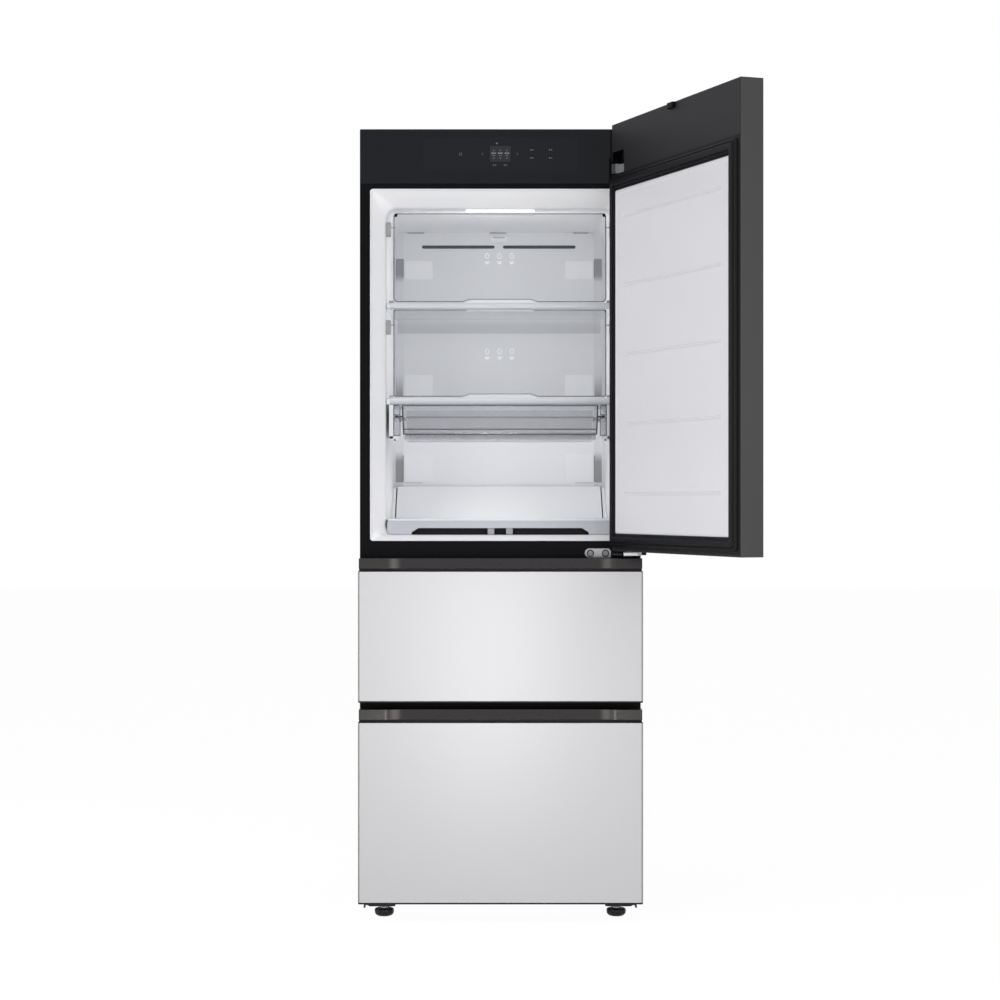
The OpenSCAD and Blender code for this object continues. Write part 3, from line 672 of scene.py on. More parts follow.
# Each lamp's place, what it looks at, its width and height in metres, and its watts
softbox("front_strip", (-20, -2570, 430), (-20, 0, 430), (0.2, 0.84), 16)
softbox("top_softbox", (-40, -3000, 3700), (0, 0, 1000), (2.6, 1.2), 16)
softbox("left_softbox", (-1500, -2700, 1400), (0, 0, 900), (0.8, 1.5), 19.5)
softbox("right_softbox", (1500, -2700, 1400), (0, 0, 900), (0.8, 1.5), 22.5)
softbox("door_softbox", (-3600, -300, 1300), (400, -350, 1300), (1.2, 2.2), 44)
ROOM_LAMPS = (("upper_room_lamp", (0, 78, 1425), (0, 480, 1425), (0.36, 0.42), 1.02),
              ("lower_room_lamp", (0, 200, 1122), (0, 228, 937), (0.36, 0.16), 0.46))
for setting in ROOM_LAMPS:                       # they light the room and aren't seen themselves
    room_lamp = softbox(*setting)
    for seen_by in ("visible_camera", "visible_glossy", "visible_transmission"):
        setattr(room_lamp, seen_by, False)

view = bpy.context.scene.view_settings
view.view_transform = "Standard"


# ---- cabinet: case, front, back and base ----

# Outer case: a sheet bent over the sides and the top
shell = block("case_shell", (-HALF, HALF), (0, BACK), (BASE, BODY_TOP))
pick_faces(shell, lambda x, y, z, n: abs(n.y) > 0.9 or n.z < -0.9)
mode("EDIT")
bpy.ops.mesh.delete(type="FACE")
mode("OBJECT")
round_edges(shell, lambda x, y, z, d: abs(d.y) > 0.9 and z > BODY_TOP - 1, 3, 3)
thicken(shell, 1.2, -1)
soften(shell, 0.35)
fit(shell, case_paint, "cabinet", "steel_dark", "outer_case")

# Back sheet with its beads and screw heads
BEAD_Y = (BACK - 1.1, BACK)
sheet = block("back_sheet", (-INSIDE, INSIDE), (BACK - 1.18, BACK - 0.9), (234.5, BODY_TOP - 1.3))
beads = [rounded_plate("bead", (-250, 250), BEAD_Y, (z, z + 14), 7) for z in range(330, 1800, 210)]
beads += [rounded_plate("bead", (x - 6, x + 6), BEAD_Y, (290, 1810), 6) for x in (-292, 292)]
for bead in beads:
    soften(bead, 0.8, 2)
heads = [rod("head", (x, BEAD_Y[0], z), (x, BACK - 0.1, z), 5, 20)
         for x in (-322, 322) for z in (260, 620, 980, 1340, 1700, 1845)]
for head in heads:
    soften(head, 0.4, 2)
soften(sheet, 0.1, 1)
weld(sheet, *beads, *heads)
fit(sheet, back_steel, "cabinet", "steel_back", "back_panel")

# Front frame: the cross rails round the three rooms, and the boss of the upper hinge
bezel = block("front_bezel", (-INSIDE, INSIDE), (0.2, 20), (BASE + 0.2, PANEL_Z[0] - 0.4))
carve(bezel, rounded_plate("hole", (MOUTH_X[0] + 0.1, MOUTH_X[1] - 0.1), (-5, 25), MOUTH_Z, 7),
      *[rounded_plate("hole", reach(room)[0], (-5, 25), reach(room)[2], 8)
        for room in ("middle_liner", "lower_liner")])
boss = block("boss", (258.2, 325.8), (3, 20), (PANEL_Z[0] - 0.4, 1796.8))
soften(bezel, 0.7, 3)
soften(boss, 0.8, 2)
weld(bezel, boss)
fit(bezel, frame_black, "cabinet", "frame_black", "front_frame")


def boss_hole():
    """The corner of the control panel that the upper hinge's boss takes."""
    return block("hole", (257.9, 340), (-5, 30), (1730, 1797))


# Control panel: glass with a sunk display window, and its housing
WINDOW_X, WINDOW_Z = (-184, 183), (1767, 1845)
glass = block("control_glass", (-INSIDE, INSIDE), (0, 4.2), (PANEL_Z[0], PANEL_Z[1] - 0.1))
carve(glass, boss_hole(), rounded_plate("hole", WINDOW_X, (-1, 0.25), WINDOW_Z, 5))
soften(glass, 0.5, 3)
tint(glass, window_glass, lambda x, y, z, n: (
    n.y < -0.9 and y > 0.1 and WINDOW_X[0] + 0.5 < x < WINDOW_X[1] - 0.5
    and WINDOW_Z[0] + 0.5 < z < WINDOW_Z[1] - 0.5))
fit(glass, panel_glass, "cabinet", "glass_black", "control_panel")
housing = block("control_housing", (0.2 - INSIDE, INSIDE - 0.2), (4.3, 28),
                (PANEL_Z[0] + 0.2, PANEL_Z[1] - 0.3))
carve(housing, boss_hole(), block("hole", (-328, 250), (5, 40), (1740, 1862)))
soften(housing, 0.5, 2)
fit(housing, frame_black, "cabinet", "glass_black")


MARK_Y = (0.05, 0.2)                             # printed marks stand just under the glass


def dash(x, z, width, height):
    """A short printed stroke about its middle."""
    return rounded_plate("dash", (x - width / 2, x + width / 2), MARK_Y,
                         (z - height / 2, z + height / 2), min(width, height) / 2.1, steps=3)


def chevron(x, z, size, way):
    """Two strokes that open to the right, where way is 1, or to the left."""
    strokes = []
    for s in (-1, 1):
        far_x, far_z = x + way * size, z + s * size
        stroke = [(x, z), (far_x, far_z), (far_x + 0.9, far_z), (x + 0.9, z)]
        strokes.append(plate("stroke", stroke if s * way < 0 else stroke[::-1], "y", MARK_Y))
    return strokes


marks = []
for x in (-15.6, 0, 15.6):                       # three groups in the lit window
    marks += [dash(x + step, 1809.2, 2.8, 3.2) for step in (-3.8, 0, 3.8)]
    marks += [dash(x + step, 1803.9, 2.6, 2.2) for step in (-1.9, 1.9)]
    marks += [dash(x, 1815.3, 3.4, 2.4), dash(x, 1797.6, 3.4, 2.6)]
for mark in marks:                               # they lie on the lit window
    mark.data.transform(Matrix.Translation((0, -0.3 * MM, 0)))
for x, z in ((74.5, 1817), (119, 1817), (74.5, 1798), (119, 1798), (-13.8, 1781), (12.2, 1781)):
    marks += [dash(x - 2.2, z, 3.4, 2.4), dash(x + 2.4, z, 3, 2.4)]
marks.append(dash(-8.3, 1832.5, 4, 4))
marks += chevron(-43.5, 1807.5, 3, 1) + chevron(41.5, 1807.5, 3, -1)
touch_marks = as_one("touch_marks", marks)
for face in touch_marks.data.polygons:
    face.use_smooth = False
tint(touch_marks, mark_dim, lambda x, y, z, n: abs(x) > 28 or abs(z - 1809.2) > 3)
fit(touch_marks, mark_paint, "cabinet", "glass_black")
lit_window = rounded_plate("lit_window", (-24.6, 24.4), (-0.1, 0.2), (1789, 1826.5), 2)
soften(lit_window, 0.08, 1)
fit(lit_window, window_light, "cabinet", "glass_black")
clear_choice()
bpy.ops.mesh.primitive_torus_add(major_radius=3.2 * MM, minor_radius=0.5 * MM, major_segments=28,
                                 minor_segments=6, location=at(-94, 0.2, 1807),
                                 rotation=(math.pi / 2, 0, 0))
settle()
touch_ring = named("touch_ring")
soften(touch_ring, 0)
fit(touch_ring, mark_dim, "cabinet", "glass_black")


# ---- upper room ----

def ring_at(half, z, radius, y, steps=6):
    """An upright ring at a depth, as wide to the left as to the right."""
    return [(u, y, v) for u, v in rounded((-half, half), z, radius, steps)]


def room_skin(name, stations):
    """A liner: rings from the lip to the back, closed at the back and open at the front."""
    rings = [ring_at(half, z, radius, y) for half, z, radius, y in stations]
    piece = loft(name, rings, filled=False)
    mode("EDIT")
    bpy.ops.mesh.select_all(action="DESELECT")
    mode("OBJECT")
    last = stations[-1][3]
    pick_edges(piece, lambda x, y, z, d: abs(y - last) < 0.1)
    mode("EDIT")
    bpy.ops.mesh.edge_face_add()
    bpy.ops.mesh.select_all(action="SELECT")
    bpy.ops.mesh.normals_make_consistent(inside=True)
    mode("OBJECT")
    return piece


upper = room_skin("upper_shell", [                # the lip, the flare, the walls and the round back
    (308.3, (891.2, 1724.8), 7, 1.6), (308.3, (891.2, 1724.8), 7, 0.6),
    (307.6, (891.9, 1724.1), 7, 0.1), (306.9, (892.6, 1723.4), 7, 0.3),
    (306.5, (893, 1723), 7, 1.2), (306.3, (893.2, 1722.6), 7.5, 4),
    (303.5, (897.5, 1720), 10, 9), (295.3, (903.8, 1709.8), 16, 19.5),
    (293.5, (905, 1707.6), 18, 22), (276.2, (905, 1688), 26, 45.5),
    (273.4, (905, 1684.5), 26, 51), (273, (905, 1684), 26, 58),
    (273, (905, 1684), 26, 570), (271.5, (906.5, 1682.5), 25, 578),
    (266, (912, 1677), 22, 584), (258, (920, 1669), 18, 586)])
thicken(upper, 1.6, -1)
soften(upper, 0)
ledges = []
for z in (UPPER_GLASS_Z, LOWER_GLASS_Z):
    for s in (-1, 1):
        ledge = block("ledge", side(s, ROOM_HALF - 5.2, ROOM_HALF + 0.3), (74.5, 499.5),
                      (z - 2.6, z - 0.2))
        ledges.append(soften(ledge, 1.2, 3))
weld(upper, *ledges)
fit(upper, liner_white, "cabinet", "liner_white", "upper_liner")

# Ceiling lamp
lamp = block("lamp_diffuser", (-81.5, 81.5), (54.4, 68), (1678.6, 1682.4))
round_edges(lamp, lambda x, y, z, d: abs(d.x) > 0.9 and z < 1679, 1.6, 3)
soften(lamp, 0.4)
fit(lamp, lamp_light, "cabinet", "lamp_white", "ceiling_lamp")
rim = block("lamp_frame", (-82.5, 82.5), (54, 80), (1680.9, 1683.8))
carve(rim, block("hole", (-80, 80), (56, 78), (1675, 1683)))
soften(rim, 0.5)
fit(rim, lamp_shell, "cabinet", "lamp_white")

# Duct cover on the back wall, with two air slots, and at each side three outlets with pads. The outlets
# are slanted strips whose paint fades to dark grey: painted shade in the openings.
duct = rounded_plate("duct_panel", (-249, 249), (538, 585.8), (1000, ROOM_TOP), 22)
carve(duct, block("hole", (-300, 300), (500, 600), (990, 1010)),
      block("hole", (-245.5, 245.5), (541, 600), (990, ROOM_TOP - 6)),
      *[rounded_plate("hole", side(s, 11, 200), (530, 545), (1642, 1650.6), 4) for s in (-1, 1)],
      *[block("hole", (-260, 260), (547, 582), (z - 32, z + 34)) for z in (1601.8, 1289.7, 1070.7)])
soften(duct, 1.4, 3)
fit(duct, duct_white, "cabinet", "liner_white", "duct_cover")
# the cover's slanted side edges: painted shade
tint(duct, soft_shade_grey, lambda x, y, z, n: 0.25 < abs(n.x) < 0.95 and y < 541)
OUTLETS = (("top", top_outlet_shade, (1556, 1616), (1562, 1610)),
           ("middle", middle_outlet_shade, (1259, 1322), (1259, 1313)),
           ("low", low_outlet_shade, (1034, 1116), (1035, 1108)))
pads = []
flanks = []
for s in (-1, 1):
    flank = [(s * 248.8, 539.6), (s * 248.8, 542.6), (s * 272.9, 549), (s * 272.9, 546)]
    flanks.append(plate("flank", flank, "z", (1019.4, ROOM_TOP - 0.2)))
    flanks.append(block("fill", side(s, 222, 249.4), (540, 541.4), (1658, ROOM_TOP - 0.4)))
    for _, _, _, pad_z in OUTLETS:
        pad = rounded_plate("pad", side(s, 172, 244), (537.3, 538.6), pad_z, 3)
        pads.append(soften(pad, 0.6, 3))
outlet_pads = as_one("outlet_pads", pads)
# the lower room's pads take the darker copy: painted shade
tint(outlet_pads, low_pad_shaded, lambda x, y, z, n: z < 1150)
fit(outlet_pads, duct_pad, "cabinet", "liner_white")
fit(as_one("duct_flanks", flanks), duct_white, "cabinet", "liner_white")
# each outlet is a slanted strip in a fading paint: painted shade
for name, shade, outlet_z, _ in OUTLETS:
    outlets = []
    for s in (-1, 1):
        slant = [(s * 249.2, 539), (s * 249.2, 540), (s * 268.4, 545), (s * 268.4, 544)]
        outlets.append(plate(name + "_outlets", slant, "z", outlet_z))
    fit(weld(*outlets), shade, "cabinet", "liner_white")
# thin grey strips along the cover's top and beside two outlets: painted shadow in the gaps
gap_shades = [block("duct_gap_shades", x, (536.9, 538.3), (1681.4, ROOM_TOP))
         for x in ((-238, -194), (-24, 20), (193, 232))]
gap_shades += [block("duct_gap_shades", side(s, 247.4, 249.4), (537.6, 540), seam_z)
          for s in (-1, 1) for seam_z in ((1566, 1614), (1036, 1104))]
fit(weld(*gap_shades), gap_shade_grey, "cabinet", "liner_white")
# thin lines near the cover's foot: painted shadow
crease_shades = [rounded_plate("duct_crease_shades", side(s, 198, 246), (537.2, 538.3), (1031.6, 1033.8), 1)
           for s in (-1, 1)]
fit(weld(*crease_shades), soft_shade_grey, "cabinet", "liner_white")
# a near-black sheet behind the air slots: painted shade inside them
shade_sheet = block("slot_shade_sheet", (-215, 215), (544, 545.5), (1636, 1656))
soften(shade_sheet, 0.3, 1)
fit(shade_sheet, slot_shade, "cabinet", "liner_white")
sensor = rounded_plate("sensor_cover", (-21.5, 21.5), (534.2, 538.4), (1660, 1675), 3)
carve(sensor, *[rounded_plate("hole", (-16, 16), (530, 535.6), (z, z + 1.6), 0.7, steps=2)
                for z in (1663.5, 1667, 1670.5)])
soften(sensor, 0.6, 2)
# the sensor's upper band: painted shade
tint(sensor, soft_shade_grey, lambda x, y, z, n: z > 1669.5)
fit(sensor, duct_pad, "cabinet", "liner_white")
FAN_Z = turning("cold_air_fan_spin")[2]
fan_post = rod("fan_post", (0, 541, FAN_Z), (0, 566, FAN_Z), 3, 24)
soften(fan_post, 0.4)
fit(fan_post, duct_white, "cabinet", "liner_white")

# Return-air cover: a slope over the bottom of the back wall, and a shoulder at each side
slope = plate("return_panel", [(386.5, 940), (390.5, 940), (490.5, 1019.5), (538, 1019.5), (538, 1023),
                               (489, 1023)], "x", (-261.8, 261.8))
soften(slope, 1.2, 3)
fit(slope, slope_white, "cabinet", "liner_white", "return_cover")
shoulders = []
for s in (-1, 1):
    outline = [(386.8, 905.4), (537.6, 905.4), (537.6, 1022), (490, 1018.5), (386.8, 939)]
    shoulder = plate("shoulder", outline, "x", side(s, 264.6, 272.8))
    shoulders.append(soften(shoulder, 0.5, 2))
fit(as_one("slope_shoulders", shoulders), liner_white, "cabinet", "liner_white")


def build_shelf(name, node, glass_z, lip, paint):
    """A glass shelf: its front trim with an end cap at each side, the pane and a drop lip behind."""
    _, (_, back), (low, high) = reach(node)
    bar = block(name + "_trim", (-262, 262), (52.1, 64.6), (low, high))
    round_edges(bar, lambda x, y, z, d: abs(d.x) > 0.9 and y < 58, 4, 4)
    soften(bar, 0.6, 2)
    caps = []
    for s in (-1, 1):
        cap = block("end", side(s, 262.3, 271.4), (52, 74), (low - 0.2, high + 0.2))
        round_edges(cap, lambda x, y, z, d: abs(d.x) > 0.9 and y < 58, 4.5, 4)
        caps.append(soften(cap, 0.7, 2))
    ends = as_one(name + "_ends", caps)
    pane = rounded_plate(name + "_glass", (-268.8, 268.8), (60, back - 0.5),
                         (glass_z + 0.05, glass_z + 4.5), 6, "z")
    soften(pane, 0.7, 2)
    fit(bar, paint, "cabinet", "shelf_clear", node)
    fit(ends, end_cap, "cabinet", "shelf_clear")
    fit(pane, shelf_glass, "cabinet", "shelf_clear")
    drop = block(name + "_lip", (-262, 262), (back - 4.5, back - 1.5), (glass_z - lip, glass_z - 0.2))
    fit(soften(drop, 0.8, 3), shelf_lip, "cabinet", "shelf_clear")


build_shelf("upper_shelf_top", "upper_shelf", UPPER_GLASS_Z, 35, shelf_trim)
build_shelf("lower_shelf_top", "lower_shelf", LOWER_GLASS_Z, 6, lower_trim)


SIGN_X = (-31, -1.5, 28)
SIGN_Y = (56.6, 56.9)


def leaf(x, z, size):
    """A leaf outline: the generic mark of a food kind."""
    outer = [(x + size * math.cos(a) * (0.62 + 0.1 * math.cos(2 * a)), z + size * math.sin(a))
             for a in (math.tau * i / 20 for i in range(20))]
    inner = [(x + (u - x) * 0.8, z + (v - z) * 0.84) for u, v in outer]
    piece = plate("leaf", outer, "y", SIGN_Y)
    return carve(piece, plate("hole", inner, "y", (55, 58)))


def guard_outline(z, radius, inset):
    """The pane's outline, with a finger notch in the middle of its lower edge."""
    low = z[0] + inset
    corners = rounded((-255.4 + inset, 254 - inset), (low, z[1] - inset), radius - inset * 0.7, 6)
    wide, narrow = 89 + inset * 0.6, 72 + inset * 0.6
    return corners + [(-wide, low), (-narrow, low + 5.6), (narrow, low + 5.6), (wide, low)]


def build_guard(body, node, radius, glint_drop):
    """A clear flap: a thin pane with a moulded rim, and a pin at each side."""
    z = reach(node)[2]
    pivot = FLAP_PIVOT_Z[body]
    pane = plate(body + "_pane", guard_outline(z, radius, 0.2), "y", (57, 60))
    soften(pane, 0.5, 2)
    fit(pane, guard_clear, body, "guard_clear", node)
    rim = closed_loft(body + "_rim", [[(u, y, v) for u, v in guard_outline(z, radius, inset)]
                                      for inset, y in ((0, 56.5), (2.7, 56.5), (2.7, 57.1), (0, 57.1))])
    # the rim's top is paler: painted light
    tint(rim, guard_top_lit, lambda x, y, height, n: height > z[1] - 3 and abs(x) < 243)
    tint(rim, guard_notch, lambda x, y, height, n: height < z[0] + 9 and abs(x) < 92)
    tint(rim, tray_edge, lambda x, y, height, n: height > z[1] - radius and 243 < abs(x) < 253.4)
    fit(rim, guard_edge, body, "guard_clear")
    # a pale strip under the top edge: painted reflection of the ceiling lamp
    strip = rounded_plate(body + "_strip", (-81, 81), (56.2, 57.1),
                          (z[1] - glint_drop - 3, z[1] - glint_drop), 1.2)
    fit(strip, guard_lamp_glint, body, "guard_clear")
    pins = [soften(rod("pin", (s * 251, FLAP_Y, pivot), (s * 268.5, FLAP_Y, pivot), 2, 20), 0.3)
            for s in (-1, 1)]
    fit(as_one(body + "_pins", pins), guard_pin, body, "guard_clear")
    middle = (z[0] + z[1]) / 2
    signs = [leaf(x, middle + 4, 7) for x in SIGN_X]
    signs += [rounded_plate("line", (x - w, x + w), SIGN_Y, (middle - v, middle - v + 1.8), 0.8,
                            steps=2) for x in SIGN_X for w, v in ((6, 11), (4, 15))]
    fit(as_one(body + "_signs", signs), mark_white, body, "guard_clear")


build_guard("upper_flap", "upper_guard", 10, 3.6)
build_guard("lower_flap", "lower_guard", 5, 1.6)
bumpers = [rounded_plate("upper_flap_bumpers", (x - 4, x + 4), (55.8, 57.4), (1665, 1673), 3.4)
           for x in (-249.6, 248.6)]
fit(weld(*bumpers), cap_black, "upper_flap", "guard_clear")

brackets = []
for flap, guard in (("upper_flap", "upper_guard"), ("lower_flap", "lower_guard")):
    pivot = FLAP_PIVOT_Z[flap]
    foot = reach(guard)[2][0]
    for s in (-1, 1):
        cheek = rounded_plate("bracket", side(s, ROOM_HALF - 11.6, ROOM_HALF - 0.1), (50.2, 67),
                              (pivot - 22, pivot + 12), 4, "x")
        carve(cheek, rod("hole", (s * 255, FLAP_Y, pivot), (s * 269, FLAP_Y, pivot), 3.05, 24))
        stop = block("stop", side(s, 254.6, 266), (54, 60), (foot - 1, foot + 4))
        brackets += [soften(cheek, 0.8, 3), soften(stop, 0.8, 2)]
fit(as_one("flap_brackets", brackets), bracket_grey, "cabinet", "bracket_grey", "guard_brackets")

# Hanging carrier: at each side a white frame round two small clear windows, and rails going back.
# The tray's runner slides out between the windows.
WINDOWS = ((1141.2, 1185.4), (1190.6, 1214.8))
WINDOW_MID, WINDOW_WIDE = 246.8, 16.8
posts = []
rails = []
windows = []
frames = []
pegs = []
for s in (-1, 1):
    post = block("post", side(s, 255.4, 265.6), (53.5, 60), (1134, 1215.8))
    foot = block("foot", side(s, 243, 265.6), (53.5, 60), (1131, 1141))
    round_edges(foot, lambda x, y, z, d: abs(d.y) > 0.9 and z < 1132, 4, 3)
    web = block("web", side(s, 263, 265.4), (60, 330), (1141, 1216))
    hook = block("hook", side(s, 246, 263), (64.6, 330), (1216.2, LOWER_GLASS_Z - 0.1))
    posts += [soften(part, 0.7, 2) for part in (post, foot, web, hook)]
    rails += [soften(block("rail", side(s, 246, 263), (60, 330), (z, z + 2.5)), 0.5, 2)
              for z in (1183, 1190.5)]
    for low, high in WINDOWS:
        window = rounded_plate("window", side(s, 238.4, 255.3), (55, 57), (low, high), 2)
        windows.append(soften(window, 0.3, 2))
        rings = []
        for inset, y in ((0, 54.4), (1.5, 54.4), (1.5, 55), (0, 55)):
            reach_in = WINDOW_WIDE / 2 - inset
            x = (s * WINDOW_MID - reach_in, s * WINDOW_MID + reach_in)
            rings.append([(u, y, v) for u, v in rounded(x, (low + inset, high - inset), 2, 3)])
        frames.append(closed_loft("frame", rings))
    pegs.append(rod("peg", (s * 251.6, 53.2, 1131.6), (s * 251.6, 55, 1131.6), 2.4, 16))
fit(as_one("tray_carrier_frame", posts), carrier_white, "cabinet", "shelf_clear", "tray_carrier")
fit(as_one("tray_carrier_rails", rails + windows), carrier_clear, "cabinet", "shelf_clear")
fit(as_one("tray_window_rims", frames + pegs), tray_edge, "cabinet", "shelf_clear")


def tray_ring(half, y, z, radius):
    """A level ring at a height, as wide to the left as to the right."""
    return [(u, v, z) for u, v in rounded((-half, half), y, radius, 5)]


# Clear tray with its skirt, runners and lines
tray = loft("tray_box", [
    tray_ring(228.6, (60, 314), 1143.4, 6), tray_ring(230.4, (57, 317), 1144.4, 7),
    tray_ring(231.4, (55.4, 318.6), 1149, 8), tray_ring(235.2, (54, 320), 1213, 9),
    tray_ring(232.8, (56.4, 317.6), 1213, 7), tray_ring(229, (57.8, 316.2), 1150, 6),
    tray_ring(227.4, (60, 314), 1147, 5)])
soften(tray, 0.5, 2)
tint(tray, tray_base, lambda x, y, z, n: z < 1149)
fit(tray, tray_clear, "tray", "guard_clear", "clear_tray")
skirt = block("tray_skirt", (-229, 229), (60.5, 314), (1132.6, 1143.2))
fit(soften(skirt, 0.8, 2), tray_base, "tray", "guard_clear")
lines = [block("line", (-231, 231), (53.3, 55.6), (1143.6, 1146.2)),
         block("line", (-229.6, 229.6), (53.4, 55.6), (1156, 1158.5)),
         block("line", (-235, 235), (53.2, 54.4), (1212.4, 1215))]
for s in (-1, 1):
    slant = [(s * 235.8, 1214), (s * 232.2, 1214), (s * 228.6, 1144.4), (s * 232.2, 1144.4)]
    lines.append(plate("line", slant, "y", (53, 55.4)))
    lines.append(block("runner", side(s, 233.6, 251), (60, 318), (1186, 1190)))
for line in lines:
    soften(line, 0.4, 2)
fit(as_one("tray_ribs", lines), tray_edge, "tray", "guard_clear")
band = rounded_plate("tray_band", (-226, 226), (53.4, 54.6), (1183.4, 1187.8), 1.6)
fit(soften(band, 0.4, 2), tray_soft, "tray", "guard_clear")

# Floor shelf with its lifting notch
bar = rounded_plate("floor_shelf_bar", (-269.4, 269.4), (36, 40.4), (905.2, 943), 11)
carve(bar, block("hole", (-280, 280), (30, 50), (938.9, 960)),
      plate("hole", [(-211, 900), (211, 900), (211, 911), (195, 921), (-195, 921), (-211, 911)],
            "y", (30, 50)))
soften(bar, 0.9, 3)
fit(bar, shelf_grey, "cabinet", "shelf_grey", "floor_shelf")
top_plate = rounded_plate("floor_shelf_plate", (-268.8, 268.8), (36, 383.8), (938.7, 942.6), 8, "z")
soften(top_plate, 1.1, 3)
fit(top_plate, shelf_end, "cabinet", "shelf_grey")
shade = block("floor_shelf_shade", (-230, 230), (62, 64), (905.4, 938.6))
fit(soften(shade, 0.4, 2), under_shade, "cabinet", "shelf_grey")
RIB_Z = (ROOM_FLOOR + 0.2, 938.6)
ribs = [soften(block("rib", side(s, 14, 30), (40.4, 60), RIB_Z), 1, 2) for s in (-1, 1)]
ribs += [soften(block("rib", side(s, 255, 258), (40.6, 384), RIB_Z), 0.6, 2) for s in (-1, 1)]
fit(as_one("floor_shelf_ribs", ribs), bracket_grey, "cabinet", "shelf_grey")


# ---- door ----

EDGE = 3.1                                       # width of the dark edge round a front panel

# Outer panel
door_panel = rounded_plate("door_panel", (EDGE - HALF, HALF - EDGE), (FRONT_Y, PANEL_BACK_Y),
                           (DOOR_Z[0] + EDGE, DOOR_Z[1] - EDGE), 2)
soften(door_panel, 0.5, 2)
fit(hang(door_panel), panel_white, "door", "panel_white", "door_skin")


def arm_slot(front):
    """The slot in the door's side for the upper hinge's arm."""
    return block("hole", (262.5, 340), (front, -10), (1752, 1784))


def boss_slot(top):
    """The hollow over that slot, for the boss on the cabinet."""
    return block("hole", (264.5, 329), (-40, -10), (1780, top))


# Edge frame, and the dark inner face that carries the seal
inset = EDGE - 0.2
rim = block("door_edge", (-HALF, HALF), (FRONT_Y + 0.1, -19), DOOR_Z)
carve(rim, block("hole", (inset - HALF, HALF - inset), (-80, -10),
                 (DOOR_Z[0] + inset, DOOR_Z[1] - inset)), arm_slot(-64.2))
soften(rim, 0.8, 3)
fit(hang(rim), door_graphite, "door", "door_grey", "door_frame")

inner = block("door_inner_face", (0.6 - HALF, HALF - 0.6), (-21, -18),
              (DOOR_Z[0] + 0.6, DOOR_Z[1] - 0.6))
carve(inner, block("hole", (-289.5, 289.5), (-30, -10), (911.5, 1709.5)),
      arm_slot(-40), boss_slot(1804))
soften(inner, 0.9, 3)
fit(hang(inner), door_dark, "door", "door_grey")

# Pocket of the upper hinge, with the hollow for the boss
pocket = block("hinge_pocket", (260, 332.3), (-66.7, -18.2), (1749.6, 1786.4))
carve(pocket, arm_slot(-64.2), boss_slot(1790),
      rod("hole", (HINGE_X, HINGE_Y, 1740), (HINGE_X, HINGE_Y, 1790), 7.6, 32))
recess = block("recess", (262, 332.2), (-42.5, -18.2), (1784.2, 1806.4))
carve(recess, boss_slot(1804))
soften(pocket, 0.4, 2)
soften(recess, 0.4, 2)
weld(pocket, recess)
fit(hang(pocket), cap_black, "door", "door_grey")

# Inner liner with its five grooves
liner = loft("door_inner_liner", [
    ring_at(half, (z0, z1), r, y, 5) for half, z0, z1, r, y in (
        (288.8, 912.2, 1708.8, 6, -20.8), (288.8, 912.2, 1708.8, 6, -18),
        (292.1, 909.4, 1711.6, 3, -17.8), (292.2, 909.3, 1711.7, 3, -15), (291.6, 910, 1711, 3, -13.2),
        (289.6, 912, 1709, 3, -12.2), (285, 916.6, 1704.4, 3, -12), (282, 919.6, 1701.4, 3, -12.6),
        (279, 922.6, 1698.4, 3, -13.2))])
widen(liner)
for z in (1003, 1164.5, 1326, 1487.5, 1649):
    groove = [(-16.4, z - 1), (-12, z - 6), (-10, z - 6), (-10, z + 3), (-12, z + 3), (-16.4, z + 1.8)]
    carve(liner, plate("hole", groove, "x", (-250, 254)))
soften(liner, 0.7, 2)
fit(hang(liner), door_white, "door", "door_liner_white", "door_liner")


def seal_ring(name, half, z, section, radius=4):
    """A frame whose section is given as (in, y) steps from the outer edge."""
    rings = []
    for inward, y in section:
        corner = max(1, radius - inward * 0.1)
        rings.append(ring_at(half - inward, (z[0] + inward, z[1] - inward), corner, y, 2))
    return closed_loft(name, rings)


seal = seal_ring("door_seal", 320.4, (881.1, 1743.9), [
    (0, -18.2), (0, -13), (1.2, -11.2), (4, -11), (5, -12.6), (7, -12.6), (8.4, -9.5), (8.4, -7.4),
    (10.2, -6.1), (20, -6), (21.8, -7.2), (21.6, -9.5), (22.6, -12), (26.4, -11.6), (27.8, -12.8),
    (27.9, -18.2)])
widen(seal)
soften(seal, 0, smooth=50)
fit(hang(seal), seal_rubber, "door", "rubber_black", "door_gasket")
border = closed_loft("door_seal_frame", [ring_at(half, span, 3, y, 3) for half, span, y in (
    (329.4, (873.4, 1751.2), -18.4), (329.4, (873.4, 1751.2), -17), (318, (884, 1741), -17),
    (318, (884, 1741), -18.4))])
fit(hang(border), seal_rubber, "door", "door_grey")

# Small cap at the top
cap = block("door_top_cap", (-17, 14), (-18.2, -10.2), (1856, 1869))
round_edges(cap, lambda x, y, z, d: abs(d.z) > 0.9 and y > -12, 4, 4)
soften(cap, 0.8, 3)
fit(hang(cap), cap_black, "door", "cap_black", "door_cap")


# ---- hinges ----

